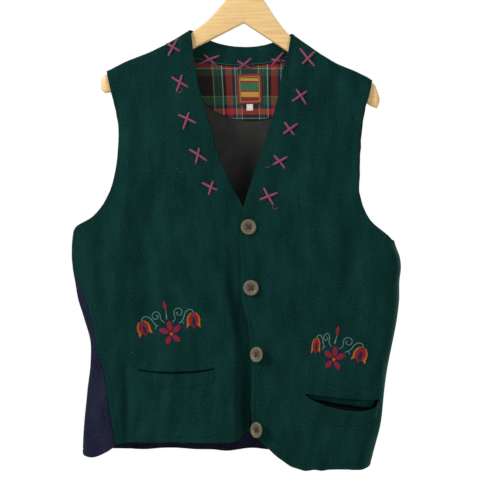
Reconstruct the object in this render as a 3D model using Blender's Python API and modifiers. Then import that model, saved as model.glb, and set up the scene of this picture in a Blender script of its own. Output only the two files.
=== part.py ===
"""A folk vest of boiled wool, buttoned, hanging on a flat wooden hanger.

Units are millimetres until a mesh is made. The origin is the inside top of the hook, where it hangs
on a rail, and "down" is the distance below that. X runs to the viewer's right and the fronts face -Y.
Outlines are written as they are seen from straight in front, EYE_AWAY off, so a point nearer to the
eye than the vest's middle is really that much smaller.
"""

import math

import bmesh
import bpy
import numpy as np
from mathutils import Matrix, Vector

MM = 0.001
EYE_X, EYE_DOWN, EYE_AWAY = -2, 459, 2000

WOOL = 2.2
FACING = 2.2
LINING = 0.8
FLANNEL = 0.7
TAPE = 0.5
SEAM = 0.3
SIDE_SEAM = 0.6  # the gap round the bend at the sides
LOOSE = 0.8  # how far loosely laid layers stay apart

# Over the hanger the cloth turns with this radius, and below it fills out to its full depth.
CREST = 12
FILL_OUT = 170

# The shoulder line, with the middle and both ends run on past the cloth: x, down
SHOULDER_LINE = [
    (-288, 222), (-217, 190), (-182, 173), (-147, 159), (-116, 143), (-86, 125),
    (0, 76), (71, 131), (96, 149), (136, 175), (177, 193), (197, 204), (270, 240),
]

# The body by height: down, left outline, right outline, radius of its round sides, bow of its faces
BODY = [
    (60, -267, 226, 24, 5),
    (330, -267, 226, 24, 5),
    (430, -267, 226, 24, 6),
    (460, -270, 231, 25, 7),
    (476, -270, 237, 26, 8),
    (490, -269, 239, 26, 8),
    (515, -265, 237, 27, 9),
    (544, -260, 237, 27, 10),
    (570, -252, 234, 27, 10),
    (609, -241, 227, 28, 11),
    (639, -241, 221, 29, 11),
    (688, -247, 213, 31, 12),
    (746, -252, 205, 34, 13),
    (811, -254, 186, 37, 14),
]

# Each front from shoulder to hem, a row for each section. The outer edge is the armhole down to the
# underarm and the side seam below it, the inner edge the neckline and then the front edge.
# outer x, outer down, inner x, inner down
FRONT_LEFT = [
    (-217, 190, -86, 125),
    (-211, 218, -82, 156),
    (-204, 245, -78, 181),
    (-199, 274, -73, 212),
    (-199, 308, -64, 242),
    (-204, 347, -54, 277),
    (-216, 384, -43, 316),
    (-239, 415, -25, 358),
    (-267, 435, -5, 396),
    (-270, 460, 14, 418),
    (-269, 485, 22, 451),
    (-260, 515, 23, 488),
    (-248, 548, 23, 527),
    (-238, 584, 25, 564),
    (-233, 618, 26, 603),
    (-221, 654, 26, 650),
    (-215, 689, 25, 680),
    (-209, 728, 22, 706),
    (-202, 768, 20, 722),
]
# outer x, outer down, inner x, inner down, how far the seam lies behind the outline, how much wider
# the back's armhole is cut
FRONT_RIGHT = [
    (197, 204, 71, 131, 0, 0),
    (191, 229, 64, 164, 0, 1),
    (184, 251, 56, 189, 0, 3),
    (179, 277, 52, 215, 0, 5),
    (176, 312, 45, 245, 0, 6),
    (175, 346, 35, 279, 0, 6),
    (178, 384, 23, 316, 0, 4),
    (195, 422, 6, 363, 0, 1),
    (226, 450, -8, 413, 0, 0),
    (235, 473, -11, 439, 6, 0),
    (240, 498, -10, 470, 12, 0),
    (238, 525, -9, 504, 14, 0),
    (237, 555, -8, 539, 14, 0),
    (231, 584, 0, 575, 14, 0),
    (226, 618, 5, 614, 14, 0),
    (220, 656, 7, 646, 14, 0),
    (211, 702, 7, 679, 14, 0),
    (205, 749, 7, 718, 14, 0),
    (187, 806, 9, 752, 14, 0),
]
UNDERARM, HEM = 8, 18

# The hems, in true size: the level stretch, where the corner's rise starts, how far it runs and rises,
# and the rise at the side seam
HEM_LEFT = {"down": 758, "corner_x": -26, "run": 46, "rise": 56, "at_seam": -4}
HEM_RIGHT = {"down": 802, "corner_x": 84, "run": -77, "rise": 59, "at_seam": 0}
CORNER_POWER = 1.65

# The back's neckline and hem
NECK_DIP, NECK_POWER = 21, 2.2
ROUND_HANGER_POWER = 20  # how sharply the neckline leaves the shoulder's crest
BACK_HEM = [(0.0, 0), (0.06, 9), (0.12, 8), (0.3, -2), (0.6, -8), (0.85, -6), (1.0, 0)]

# The largest folds and hollows: side (-1 front, 1 back), from x, down, to x, down, half width, height
FOLDS = [
    (-1, -200, 370, -217, 590, 15, 5),
    (-1, -166, 380, -164, 600, 20, -6),
    (-1, -190, 670, -187, 765, 7, -5),
    (-1, -110, 410, -25, 446, 12, -3),
    (-1, 165, 440, 140, 545, 22, -5),
    (-1, 205, 640, 210, 780, 9, 3),
    (1, -150, 360, -190, 620, 26, -5),
    (1, 20, 300, -10, 700, 60, 4),
    (1, 150, 380, 120, 640, 24, -5),
    (1, -60, 560, -80, 760, 20, -4),
]

# How deep the left front dips beside and under the right front: down, depth
TUCK = [(380, 3.4), (520, 5), (610, 9), (690, 14), (770, 16)]
TUCK_RUN = 34

# Pockets: seen left and right ends of the slit, its row, the rows that its welt covers, and how far
# the mouth sags and stands open
POCKET_LEFT = {"slit": (-166, -49), "row": 15, "welt": 0.65, "sag": 7, "gape": 2.5}
POCKET_RIGHT = {"slit": (93, 204), "row": 16, "welt": 0.5, "sag": 17, "gape": 8}
SLIT_SHARE = 0.1  # the slit's height before it sags, in rows
SAG_ROWS, SAG_POWER = 0.9, 0.7
BAG_DEEP, BAG_GAP = 95, 12

# What shows inside the back neck, as seen
FACING_HIGH, FACING_DIP = 33, 24
FACING_X = (-67, 54)
YOKE = {"x": 6, "down": 149, "half": 108, "high": 118}
LABEL = {"x": (-13, 25), "down": (194, 241)}
SIZE_TAG = {"x": (1, 11), "down": (241.5, 250)}

BUTTON_R, BUTTON_THICK, BUTTON_HOLE_R, BUTTON_HOLES_AT = 12, 4, 1.1, 2.6
# The buttons as seen: x, down, turned to the left, leant, how far the middle stands off the cloth
BUTTONS = [(4, 431, 0, 0, 0.5), (8, 525, 5, 0, 1.0), (17, 629, 24, 4, 4.0), (17, 746, 30, 12, 4.2)]

# The hanger's outline in slices: x, upper edge down, lower edge down
HANGER = [
    (-224, 203, 218), (-219, 197, 223), (-208, 191, 222), (-182, 177, 208), (-147, 163, 190),
    (-116, 147.2, 173), (-84, 130, 156), (-67, 118, 147), (-51, 103, 138), (-30, 79, 127),
    (-16, 66, 119), (-3, 60, 113), (14, 66, 122), (27, 79, 132), (46, 108, 146), (67, 134, 161),
    (96, 153.4, 181), (136, 179.2, 207), (177, 196.8, 232), (193, 206, 243), (203, 217, 247),
    (207, 228, 240),
]
HANGER_THICK = 12
HANGER_SQUARE = 0.5  # 1 is an ellipse in section, less is squarer
HOOK_WIRE_R, HOOK_BEND_R = 1.9, 21
HOOK_STEM = [(-3, 60.3), (-3, 54), (-3, 49), (-1.5, 45.5)]  # x, down, from inside the hanger's hump
HOOK_TURN = (-62, 205)  # degrees round the bend, from the stem to the tip

WOOL_GREEN = (0.006, 0.026, 0.022)
WOOL_NAVY = (0.015, 0.02, 0.045)
CHARCOAL = (0.018, 0.018, 0.018)
TARTAN_RED = (0.18, 0.02, 0.02)
LABEL_RED = (0.22, 0.025, 0.03)
TAG_WHITE = (0.7, 0.68, 0.62)
HORN = (0.09, 0.08, 0.055)
BEECH = (0.78, 0.55, 0.26)
STEEL = (0.6, 0.6, 0.6)


def start_scene():
    for obj in list(bpy.data.objects):
        bpy.data.objects.remove(obj)
    parts = bpy.data.collections.new("embroidered_vest")
    cutters = bpy.data.collections.new("cutters")
    for collection in (parts, cutters):
        bpy.context.scene.collection.children.link(collection)
    cutters.hide_render = True
    return parts, cutters


def material(name, colour, roughness, metallic=0.0):
    made = bpy.data.materials.new(name)
    made.use_nodes = True
    surface = made.node_tree.nodes["Principled BSDF"]
    surface.inputs["Base Color"].default_value = (*colour, 1)
    surface.inputs["Roughness"].default_value = roughness
    surface.inputs["Metallic"].default_value = metallic
    return made


def spline(knots, rows, at):
    """The smooth curve through rows, one at each knot, read at the places given."""
    knots, rows, at = (np.asarray(v, float) for v in (knots, rows, at))
    slopes = np.gradient(rows, knots, axis=0)
    i = np.clip(np.searchsorted(knots, at, side="right") - 1, 0, len(knots) - 2)
    wide = knots[i + 1] - knots[i]
    t = np.clip((at - knots[i]) / wide, 0, 1)
    if rows.ndim > 1:
        wide, t = wide[..., None], t[..., None]
    start, end = rows[i], rows[i + 1]
    bend = (1 - t) * (slopes[i] * wide - (end - start)) - t * (slopes[i + 1] * wide - (end - start))
    return start + (end - start) * t + t * (1 - t) * bend


def ease(t):
    t = np.clip(t, 0, 1)
    return t * t * (3 - 2 * t)


def crest(x):
    line = np.array(SHOULDER_LINE, float)
    return spline(line[:, 0], line[:, 1], x)


def body(down):
    """Middle x, half of the flat width, side radius and bow of the body at a height."""
    rows = np.array(BODY, float)
    left, right, side, bow = np.moveaxis(spline(rows[:, 0], rows[:, 1:], down), -1, 0)
    return (left + right) / 2, (right - left) / 2 - side, side, bow


def body_point(along, fall, face):
    """A point of the outer face, along mm round from its middle and fall mm down the cloth."""
    middle, flat, side, bow = body(fall)
    over = np.maximum(np.abs(along) - flat, 0)
    bend = np.minimum(over / side, math.pi)
    past = np.maximum(over - math.pi * side, 0)
    reach = np.minimum(np.abs(along), flat) + side * np.sin(bend) - past
    x = middle + np.sign(along) * reach
    top = crest(x)
    up = np.clip((top + CREST - fall) / CREST, 0, math.pi / 2)
    down = np.where(up > 0, top + CREST - CREST * np.sin(up), fall)
    filled = ease((down - top - CREST) / FILL_OUT)
    belly = np.clip(1 - ((x - middle) / flat) ** 2, 0, 1)
    deep = (CREST + ((side - CREST) + bow * belly) * filled) * np.cos(up)
    return np.stack([x, face * deep * np.cos(bend), -down], axis=-1)


def normals(surface, along, fall, face):
    step = 0.5
    across = surface(along + step, fall) - surface(along - step, fall)
    below = surface(along, fall + step) - surface(along, fall - step)
    out = face * np.cross(across, below)
    return out / np.linalg.norm(out, axis=-1, keepdims=True)


def fold_height(points):
    """How far the folds lift the cloth at these points of the plain body."""
    x, y, down = points[..., 0], points[..., 1], -points[..., 2]
    height = np.zeros_like(x)
    for side, x0, down0, x1, down1, width, high in FOLDS:
        run = np.array([x1 - x0, down1 - down0], float)
        t = ((x - x0) * run[0] + (down - down0) * run[1]) / (run @ run)
        t = np.clip(t, 0, 1)
        away = np.hypot(x - x0 - t * run[0], down - down0 - t * run[1])
        on_side = np.clip(side * y / 12, 0, 1)
        height += high * on_side * np.sqrt(np.clip(4 * t * (1 - t), 0, 1)) * np.exp(-((away / width) ** 2))
    return height


def folded(face):
    def surface(along, fall):
        plain = body_point(along, fall, face)
        out = normals(lambda a, f: body_point(a, f, face), along, fall, face)
        return plain + out * fold_height(plain)[..., None]
    return surface


def along_at(x, down):
    """How far round from the middle of its face a place at x lies."""
    middle, flat, side, _ = body(down)
    off = np.abs(x - middle)
    over = np.clip((off - flat) / side, 0, 1)
    return np.sign(x - middle) * (np.minimum(off, flat) + side * np.arcsin(over))


def fall_at(x, down):
    top = crest(x) + CREST
    return np.where(down < top, top - CREST * np.arcsin(np.clip((top - down) / CREST, 0, 1)), down)


def as_seen(x, down, face):
    """(along, fall) of the place on a face that is seen at x and down."""
    x, down = np.asarray(x, float), np.asarray(down, float)
    true_x, true_down = x, down
    for _ in range(4):
        along, fall = along_at(true_x, true_down), fall_at(true_x, true_down)
        scale = 1 + body_point(along, fall, face)[..., 1] / EYE_AWAY
        true_x = EYE_X + (x - EYE_X) * scale
        true_down = EYE_DOWN + (down - EYE_DOWN) * scale
    return along_at(true_x, true_down), fall_at(true_x, true_down)


def seam_fall(x):
    """The fall of the shoulder seam, half a gap short of the crest's top."""
    return crest(x) + CREST - CREST * math.pi / 2 + SEAM / 2


def blend(t, start, end):
    return start + (end - start) * t


class Panel:
    """A front or the back as a grid: row 0 at the shoulder to HEM, share 0 to 1 across it."""

    def __init__(self, face, edges, top, hem, lift=None, pocket=None):
        self.face, self.edges, self.top, self.hem = face, edges, top, hem
        self.lift = lift or (lambda along, fall, row: np.zeros_like(fall))
        self.pocket = pocket
        self.slit = slit_shares(edges, pocket) if pocket else None

    def sag(self, row, share):
        """How much of its pocket's sag the cloth has here: all of it at the slit's lower edge."""
        if not self.pocket:
            return np.zeros_like(row)
        low, high = self.slit
        across = np.clip((share - low) / (high - low), 0, 1)
        under = row - self.pocket["row"]
        below = np.clip(1 - under / SAG_ROWS, 0, 1) * (under > -1e-6)
        return ease(below) * np.sin(math.pi * across) ** SAG_POWER

    def place(self, row, share):
        """(along, fall) of a place on the panel's outer face."""
        row, share = np.broadcast_arrays(np.asarray(row, float), np.asarray(share, float))
        (a0, f0), (a1, f1) = self.edges(row)
        along, fall = blend(share, a0, a1), blend(share, f0, f1)
        zero, last = np.zeros_like(row), np.full_like(row, HEM)
        for at, line, weight in (
            (zero, self.top, np.clip(1 - row / 4, 0, 1) ** 2),
            (last, self.hem, np.clip(1 - (HEM - row) / 3, 0, 1) ** 2),
        ):
            (b0, g0), (b1, g1) = self.edges(at)
            there = blend(share, b0, b1)
            fall = fall + (line(there, share) - blend(share, g0, g1)) * weight
        if self.pocket:
            fall = fall + self.pocket["sag"] * self.sag(row, share)
        return along, fall

    def points(self, row, share, out=0.0):
        """Points of the panel, moved out from its outer face."""
        row, share = np.broadcast_arrays(np.asarray(row, float), np.asarray(share, float))
        along, fall = self.place(row, share)
        surface = folded(self.face)
        way = normals(surface, along, fall, self.face)
        lift = self.lift(along, fall, row) + out
        if self.pocket:
            lift = lift + self.pocket["gape"] * self.sag(row, share)
        return surface(along, fall) + way * lift[..., None]


def edge_curves(table, behind=None):
    """Both edges of a front as (along, fall) by row. Its seam can lie some way behind the outline."""
    table = np.array(table, float)
    outer = np.stack(as_seen(table[:, 0], table[:, 1], -1), axis=-1)
    inner = np.stack(as_seen(table[:, 2], table[:, 3], -1), axis=-1)
    for edge in (outer, inner):
        edge[0, 1] = seam_fall(body(edge[0, 1])[0] + edge[0, 0])
    if behind is not None:
        _, flat, side, _ = body(outer[:, 1])
        outer[:, 0] = np.where(behind > 0, flat + side * math.pi / 2 + behind, outer[:, 0])
    rows = np.arange(len(table))

    def edges(row):
        found = (np.moveaxis(spline(rows, edge, row), -1, 0) for edge in (outer, inner))
        return tuple(tuple(pair) for pair in found)
    return edges


def seam_line(along, share):
    return seam_fall(body(np.full_like(along, 150.0))[0] + along)


def front_hem(hem):
    """The hem of a front: level, risen at its round corner, and a little at the side seam."""
    def line(along, share):
        x = body(np.full_like(along, hem["down"]))[0] + along
        corner = np.clip((x - hem["corner_x"]) / hem["run"], 0, None) ** CORNER_POWER
        at_side = np.clip(1 - share / 0.1, 0, 1) ** 2
        return hem["down"] - hem["rise"] * corner - hem["at_seam"] * at_side
    return line


def under_the_overlap(along, fall, row):
    """The left front sinks beside the right front's edge and passes under it."""
    edge, _ = right.edges(row)[1]
    rows = np.array(TUCK, float)
    depth = spline(rows[:, 0], rows[:, 1], np.clip(fall, rows[0, 0], rows[-1, 0]))
    started = ease((row - UNDERARM + 2) / 2)
    return -depth * ease((along - edge) / TUCK_RUN + 1) * started


def slit_shares(edges, pocket):
    """The shares across a front at which its pocket slit starts and ends."""
    (outer, fall), (inner, _) = edges(np.array(float(pocket["row"])))
    ends = as_seen(np.array(pocket["slit"]), np.full(2, float(fall)), -1)[0]
    return tuple(sorted(float((end - outer) / (inner - outer)) for end in ends))


def back_edges(row):
    """The back's edges: each armhole mirrored from its front, then the far side of each seam."""
    found = []
    for front, cut in ((left, 0 * BACK_CUT), (right, BACK_CUT)):
        along, fall = front.edges(row)[0]
        _, flat, side, _ = body(fall)
        beyond = 2 * flat + math.pi * side - np.abs(along)
        wider = np.abs(along) + spline(np.arange(HEM + 1), cut, row)
        reach = np.where(row > UNDERARM, beyond, wider) - SIDE_SEAM
        found.append((np.sign(along) * reach, fall))
    return tuple(found)


def back_top(along, share):
    """Shoulder seam, neckline, shoulder seam."""
    x = body(np.full_like(along, 150.0))[0] + along
    (x0, _), (x1, _) = NECK_POINTS
    q = (2 * x - x0 - x1) / (x1 - x0)
    neck = blend((q + 1) / 2, *(seam_fall(np.array(float(p[0]))) for p in NECK_POINTS))
    away = np.clip(np.abs(q), 0, 1)
    over = CREST * (math.pi / 2 - 1) * (1 - away**ROUND_HANGER_POWER)
    return np.where(away < 1, neck + over + NECK_DIP * (1 - away**NECK_POWER), seam_fall(x))


def facing_top(x):
    """The upper edge of the neck facing, as seen through the neck."""
    (x0, down0), (x1, down1) = NECK_POINTS
    q = (2 * x - x0 - x1) / (x1 - x0)
    return blend((q + 1) / 2, down0, down1) + FACING_DIP * (1 - np.minimum(np.abs(q), 1) ** NECK_POWER)


def back_hem(along, share):
    rows = np.array(BACK_HEM)
    low = blend(share, left_hem_end, right_hem_end)
    return low + spline(rows[:, 0], rows[:, 1], share)


def solid(name, outer, inner, look, parts, skip=()):
    """A closed wall between two grids of points, without the quads (row, column) in skip."""
    rows, columns = outer.shape[:2]
    mesh = bmesh.new()
    bmesh.ops.create_grid(mesh, x_segments=columns - 1, y_segments=rows - 1, size=1)
    number = mesh.verts.layers.int.new("number")
    for i, vert in enumerate(mesh.verts):
        vert[number] = i
    mesh.verts.ensure_lookup_table()
    gone = [
        face for face in mesh.faces
        if divmod(min(v.index for v in face.verts), columns) in skip
    ]
    bmesh.ops.delete(mesh, geom=gone, context="FACES")
    made = bmesh.ops.extrude_face_region(mesh, geom=mesh.faces[:], use_keep_orig=True)
    moved = {v for v in made["geom"] if isinstance(v, bmesh.types.BMVert)}
    for points, verts in ((outer, set(mesh.verts) - moved), (inner, moved)):
        flat = points.reshape(-1, 3) * MM
        for vert in verts:
            vert.co = flat[vert[number]]
    bmesh.ops.recalc_face_normals(mesh, faces=mesh.faces[:])
    return finish(name, mesh, look, parts)


def finish(name, mesh, look, parts):
    data = bpy.data.meshes.new(name)
    mesh.to_mesh(data)
    mesh.free()
    data.materials.append(look)
    data.shade_smooth()
    data.set_sharp_from_angle(angle=math.radians(40))
    obj = bpy.data.objects.new(name, data)
    parts.objects.link(obj)
    return obj


def panel_wall(name, panel, rows, shares, thick, look, parts, out=0.0, skip=()):
    grid = np.meshgrid(rows, shares, indexing="ij")
    return solid(name, panel.points(*grid, out), panel.points(*grid, out - thick), look, parts, skip)


def inside_wall(name, x, down, depth, thick, look, parts):
    """A piece that lies inside the back, depth below its outer face, at places as seen."""
    along, fall = as_seen(x, down, 1)
    surface = folded(1)
    way = normals(surface, along, fall, 1)
    at = surface(along, fall)
    depth = np.broadcast_to(depth, along.shape)[..., None]
    return solid(name, at - way * depth, at - way * (depth + thick), look, parts)


def pocket_rows(pocket):
    """The rows of the slit's upper edge, its lower edge and the foot of its welt."""
    return pocket["row"] - SLIT_SHARE, pocket["row"], pocket["row"] + pocket["welt"]


def slit_quads(panel, rows, shares, pocket):
    """The quads of a front that its pocket slit leaves out."""
    row = list(rows).index(pocket_rows(pocket)[0])
    low, high = panel.slit
    return [(row, i) for i in range(len(shares) - 1) if low - 1e-6 <= shares[i] < high - 1e-6]


def shares_with_slit(panel, before, inside, after):
    low, high = panel.slit
    runs = (np.linspace(0, low, before + 1), np.linspace(low, high, inside + 1), np.linspace(high, 1, after + 1))
    return np.concatenate([runs[0], runs[1][1:], runs[2][1:]])


def make_welt(name, panel, shares, pocket, look, parts):
    low, high = panel.slit
    shares = shares[(shares >= low - 1e-6) & (shares <= high + 1e-6)]
    rows = pocket_rows(pocket)[1:]
    panel_wall(name, panel, rows, shares, WOOL, look, parts, out=SEAM + WOOL)


def make_bag(name, panel, pocket, look, parts):
    """A bag of lining: down behind the slit, round at its foot, and up to the slit's lower edge."""
    low, high = panel.slit
    shares = np.linspace(low + 0.02, high - 0.06, 9)
    top = panel.place(pocket_rows(pocket)[0], shares)[1] - 9
    mouth = panel.place(pocket["row"] + 0.02, shares)[1] + 5
    foot = top + BAG_DEEP
    along = panel.place(pocket["row"], shares)[0]
    start = WOOL + SEAM + LINING
    route = [  # fall from, share of the way to the foot, depth behind the outer face
        (top, 0.0, start + 1), (top, 0.08, start + 2.5), (top, 0.25, start + BAG_GAP),
        (top, 0.6, start + BAG_GAP), (top, 0.9, start + BAG_GAP - 1), (top, 1.0, start + BAG_GAP / 2),
        (mouth, 0.92, start + 1.5), (mouth, 0.5, start + 1.5), (mouth, 0.0, start),
    ]
    surface = folded(-1)
    grid = []
    for begin, share, depth in route:
        fall = blend(share, begin, foot)
        lift = panel.lift(along, fall, np.full_like(fall, pocket["row"]))
        way = normals(surface, along, fall, -1)
        grid.append(surface(along, fall) + way * (lift - depth)[..., None])
    grid = np.array(grid) * MM
    mesh = bmesh.new()
    bmesh.ops.create_grid(mesh, x_segments=grid.shape[1] - 1, y_segments=len(grid) - 1, size=1)
    for vert, place in zip(mesh.verts, grid.reshape(-1, 3), strict=True):
        vert.co = place
    bag = finish(name, mesh, look, parts)
    wall = bag.modifiers.new("wall", "SOLIDIFY")
    wall.thickness, wall.offset = LINING * MM, 0
    wall.use_even_offset = True


def button_mesh(look, cutters):
    """A four-hole button: a dished disc turned round Z, with its holes cut through."""
    profile = [
        (0, 2.6), (7.0, 2.8), (8.6, 3.8), (10.4, 4.0), (11.6, 3.2), (12.0, 2.0), (11.2, 0.7), (9.0, 0), (0, 0),
    ]
    mesh = bmesh.new()
    verts = [mesh.verts.new((r * MM, 0, z * MM)) for r, z in profile]
    for a, b in zip(verts, verts[1:]):
        mesh.edges.new((a, b))
    bmesh.ops.spin(
        mesh, geom=mesh.verts[:] + mesh.edges[:], cent=(0, 0, 0), axis=(0, 0, 1),
        angle=math.tau, steps=20, use_merge=True,
    )
    bmesh.ops.remove_doubles(mesh, verts=mesh.verts[:], dist=1e-6)
    bmesh.ops.recalc_face_normals(mesh, faces=mesh.faces[:])
    blank = finish("button_blank", mesh, look, cutters)
    drill = bmesh.new()
    for x in (-1, 1):
        for y in (-1, 1):
            at = Matrix.Translation((x * BUTTON_HOLES_AT * MM, y * BUTTON_HOLES_AT * MM, BUTTON_THICK / 2 * MM))
            bmesh.ops.create_cone(
                drill, cap_ends=True, segments=8, radius1=BUTTON_HOLE_R * MM, radius2=BUTTON_HOLE_R * MM,
                depth=3 * BUTTON_THICK * MM, matrix=at,
            )
    drills = finish("button_drills", drill, look, cutters)
    for helper in (blank, drills):
        helper.hide_render = True
        helper.display_type = "WIRE"
    cut = blank.modifiers.new("holes", "BOOLEAN")
    cut.operation, cut.object = "DIFFERENCE", drills
    bpy.context.view_layer.update()
    drilled = bpy.data.meshes.new_from_object(blank.evaluated_get(bpy.context.evaluated_depsgraph_get()))
    blank.modifiers.remove(cut)
    return drilled


def make_buttons(panel, look, parts, cutters):
    """Each button lies on the right front, a gap off it, turned as its thread lets it."""
    shape = button_mesh(look, cutters)
    surface = folded(-1)
    for i, (x, down, turned, leant, proud) in enumerate(BUTTONS, 1):
        along, fall = as_seen(np.array(float(x)), np.array(float(down)), -1)
        way = normals(surface, along, fall, -1)
        seat = surface(along, fall)
        flat = Vector(way).to_track_quat("Z", "Y").to_matrix()
        turn = Matrix.Rotation(math.radians(-turned), 3, "Z")
        turn = turn @ flat @ Matrix.Rotation(math.radians(leant), 3, "Z")
        button = bpy.data.objects.new(f"button_{i}", shape)
        button.matrix_world = Matrix.Translation(Vector(seat + way * proud) * MM) @ turn.to_4x4()
        parts.objects.link(button)


def make_hanger(look, parts):
    """The hanger as rounded slices across its arms."""
    slices = np.array(HANGER, float)
    x = np.concatenate([np.linspace(a, b, 3)[:-1] for a, b in zip(slices[:-1, 0], slices[1:, 0])] + [slices[-1:, 0]])
    edges = spline(slices[:, 0], slices[:, 1:], x)
    around = np.linspace(0, math.tau, 12, endpoint=False) + math.tau / 24
    mesh = bmesh.new()
    rings = []
    for at, (top, low) in zip(x, edges):
        end = min(at - x[0], x[-1] - at)
        thick = HANGER_THICK / 2 * math.sqrt(min(1, 0.3 + end / 9))
        ring = []
        for angle in around:
            c, s = math.cos(angle), math.sin(angle)
            y = thick * math.copysign(abs(c) ** HANGER_SQUARE, c)
            down = (top + low) / 2 - (low - top) / 2 * math.copysign(abs(s) ** HANGER_SQUARE, s)
            ring.append(mesh.verts.new((at * MM, y * MM, -down * MM)))
        rings.append(ring)
    for a, b in zip(rings, rings[1:]):
        for i in range(len(a)):
            j = (i + 1) % len(a)
            mesh.faces.new((a[i], a[j], b[j], b[i]))
    for ring in (rings[0], rings[-1]):
        mesh.faces.new(ring)
    bmesh.ops.recalc_face_normals(mesh, faces=mesh.faces[:])
    finish("hanger", mesh, look, parts)


def make_hook(look, parts):
    """The wire: up from the hanger's hump, out to one side and over the rail."""
    r = HOOK_BEND_R + HOOK_WIRE_R
    centre = HOOK_BEND_R
    angles = np.radians(np.linspace(*HOOK_TURN, 19))
    route = HOOK_STEM + [(r * math.cos(a), centre - r * math.sin(a)) for a in angles]
    curve = bpy.data.curves.new("hook", "CURVE")
    curve.dimensions = "3D"
    curve.bevel_depth = HOOK_WIRE_R * MM
    curve.bevel_resolution = 2
    curve.use_fill_caps = True
    wire = curve.splines.new("POLY")
    wire.points.add(len(route) - 1)
    for point, (x, down) in zip(wire.points, route):
        point.co = (x * MM, 0, -down * MM, 1)
    curve.materials.append(look)
    parts.objects.link(bpy.data.objects.new("hook", curve))


PARTS, CUTTERS = start_scene()
GREEN = material("boiled_wool_green", WOOL_GREEN, 0.95)
NAVY = material("boiled_wool_navy", WOOL_NAVY, 0.95)
DARK = material("lining_charcoal", CHARCOAL, 0.8)
RED = material("tartan_flannel", TARTAN_RED, 0.9)

SEAM_BEHIND = np.array([row[4] for row in FRONT_RIGHT], float)
BACK_CUT = np.array([row[5] for row in FRONT_RIGHT], float)
NECK_POINTS = (FRONT_LEFT[0][2:4], FRONT_RIGHT[0][2:4])

right_edges = edge_curves([row[:4] for row in FRONT_RIGHT], SEAM_BEHIND)
right = Panel(-1, right_edges, seam_line, front_hem(HEM_RIGHT), pocket=POCKET_RIGHT)
left_edges = edge_curves(FRONT_LEFT)
left = Panel(-1, left_edges, seam_line, front_hem(HEM_LEFT), under_the_overlap, POCKET_LEFT)
left_hem_end = float(left.place(HEM, 0)[1])
right_hem_end = float(right.place(HEM, 0)[1])
back = Panel(1, back_edges, back_top, back_hem)

ROWS = np.unique(np.concatenate([
    [0, 0.14, 0.28, 0.42, 0.56, 0.78], np.arange(1, HEM + 1),
    pocket_rows(POCKET_LEFT), pocket_rows(POCKET_RIGHT),
]))
left_shares = shares_with_slit(left, 4, 7, 4)
right_shares = shares_with_slit(right, 4, 6, 5)
(neck_a, _), (neck_b, _) = NECK_POINTS
width = FRONT_RIGHT[0][0] - FRONT_LEFT[0][0]
neck_shares = [(x - FRONT_LEFT[0][0]) / width for x in (neck_a, neck_b)]
crowded = np.linspace(0, 1, 9) ** 1.35
across_neck = blend((np.array([-0.94, -0.75, -0.45, -0.15, 0.15, 0.45, 0.75, 0.94]) + 1) / 2, *neck_shares)
back_shares = np.concatenate([
    neck_shares[0] * crowded, across_neck, 1 - (1 - neck_shares[1]) * crowded[::-1],
])

panel_wall(
    "front_left", left, ROWS, left_shares, WOOL, GREEN, PARTS, skip=slit_quads(left, ROWS, left_shares, POCKET_LEFT),
)
panel_wall(
    "front_right", right, ROWS, right_shares, WOOL, GREEN, PARTS,
    skip=slit_quads(right, ROWS, right_shares, POCKET_RIGHT),
)
panel_wall("back", back, ROWS, back_shares, WOOL, NAVY, PARTS)

# The lining lies inside the back, from under the yoke to a hand's breadth above the hem's edge.
panel_wall(
    "lining", back, ROWS[(ROWS >= 1) & (ROWS <= HEM - 1)], back_shares[1:-1], LINING, DARK, PARTS,
    out=-WOOL - SEAM,
)
under = WOOL + LINING + SEAM + LOOSE
across = np.linspace(-0.97, 0.97, 15)
yoke_x = YOKE["x"] + YOKE["half"] * across
yoke_low = YOKE["down"] + YOKE["high"] * np.sqrt(1 - across**2)
yoke_top = np.maximum(facing_top(yoke_x) + 0.7 * FACING_HIGH, crest(yoke_x) + CREST + 1)
yoke_down = blend(np.linspace(0, 1, 5)[:, None], yoke_top[None, :], yoke_low[None, :])
inside_wall("yoke", yoke_x[None, :] + 0 * yoke_down, yoke_down, under, FLANNEL, RED, PARTS)

facing_x = np.linspace(*FACING_X, 13)[None, :]
sink = np.linspace(0, 1, 4)[:, None]
over_yoke = under + FLANNEL + SEAM
inside_wall(
    "neck_facing", facing_x + 0 * sink, facing_top(facing_x) + FACING_HIGH * sink,
    blend(ease(sink * 2.5), WOOL + LOOSE, over_yoke), FACING, GREEN, PARTS,
)

on_yoke = under + FLANNEL + LOOSE
for name, place, colour in (("label", LABEL, LABEL_RED), ("size_tag", SIZE_TAG, TAG_WHITE)):
    tape = material(f"woven_{name}", colour, 0.7)
    grid = np.meshgrid(np.linspace(*place["down"], 3), np.linspace(*place["x"], 3), indexing="ij")
    inside_wall(name, grid[1], grid[0], on_yoke, TAPE, tape, PARTS)

for name, panel, shares, pocket in (
    ("left", left, left_shares, POCKET_LEFT), ("right", right, right_shares, POCKET_RIGHT),
):
    make_welt(f"welt_{name}", panel, shares, pocket, GREEN, PARTS)
    make_bag(f"pocket_bag_{name}", panel, pocket, DARK, PARTS)

make_buttons(right, material("horn_buttons", HORN, 0.4), PARTS, CUTTERS)
make_hanger(material("beech_hanger", BEECH, 0.4), PARTS)
make_hook(material("steel_wire", STEEL, 0.3, 1.0), PARTS)
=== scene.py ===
import itertools
import math

import bmesh
import bpy
import numpy as np
from mathutils import Matrix, Vector


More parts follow.
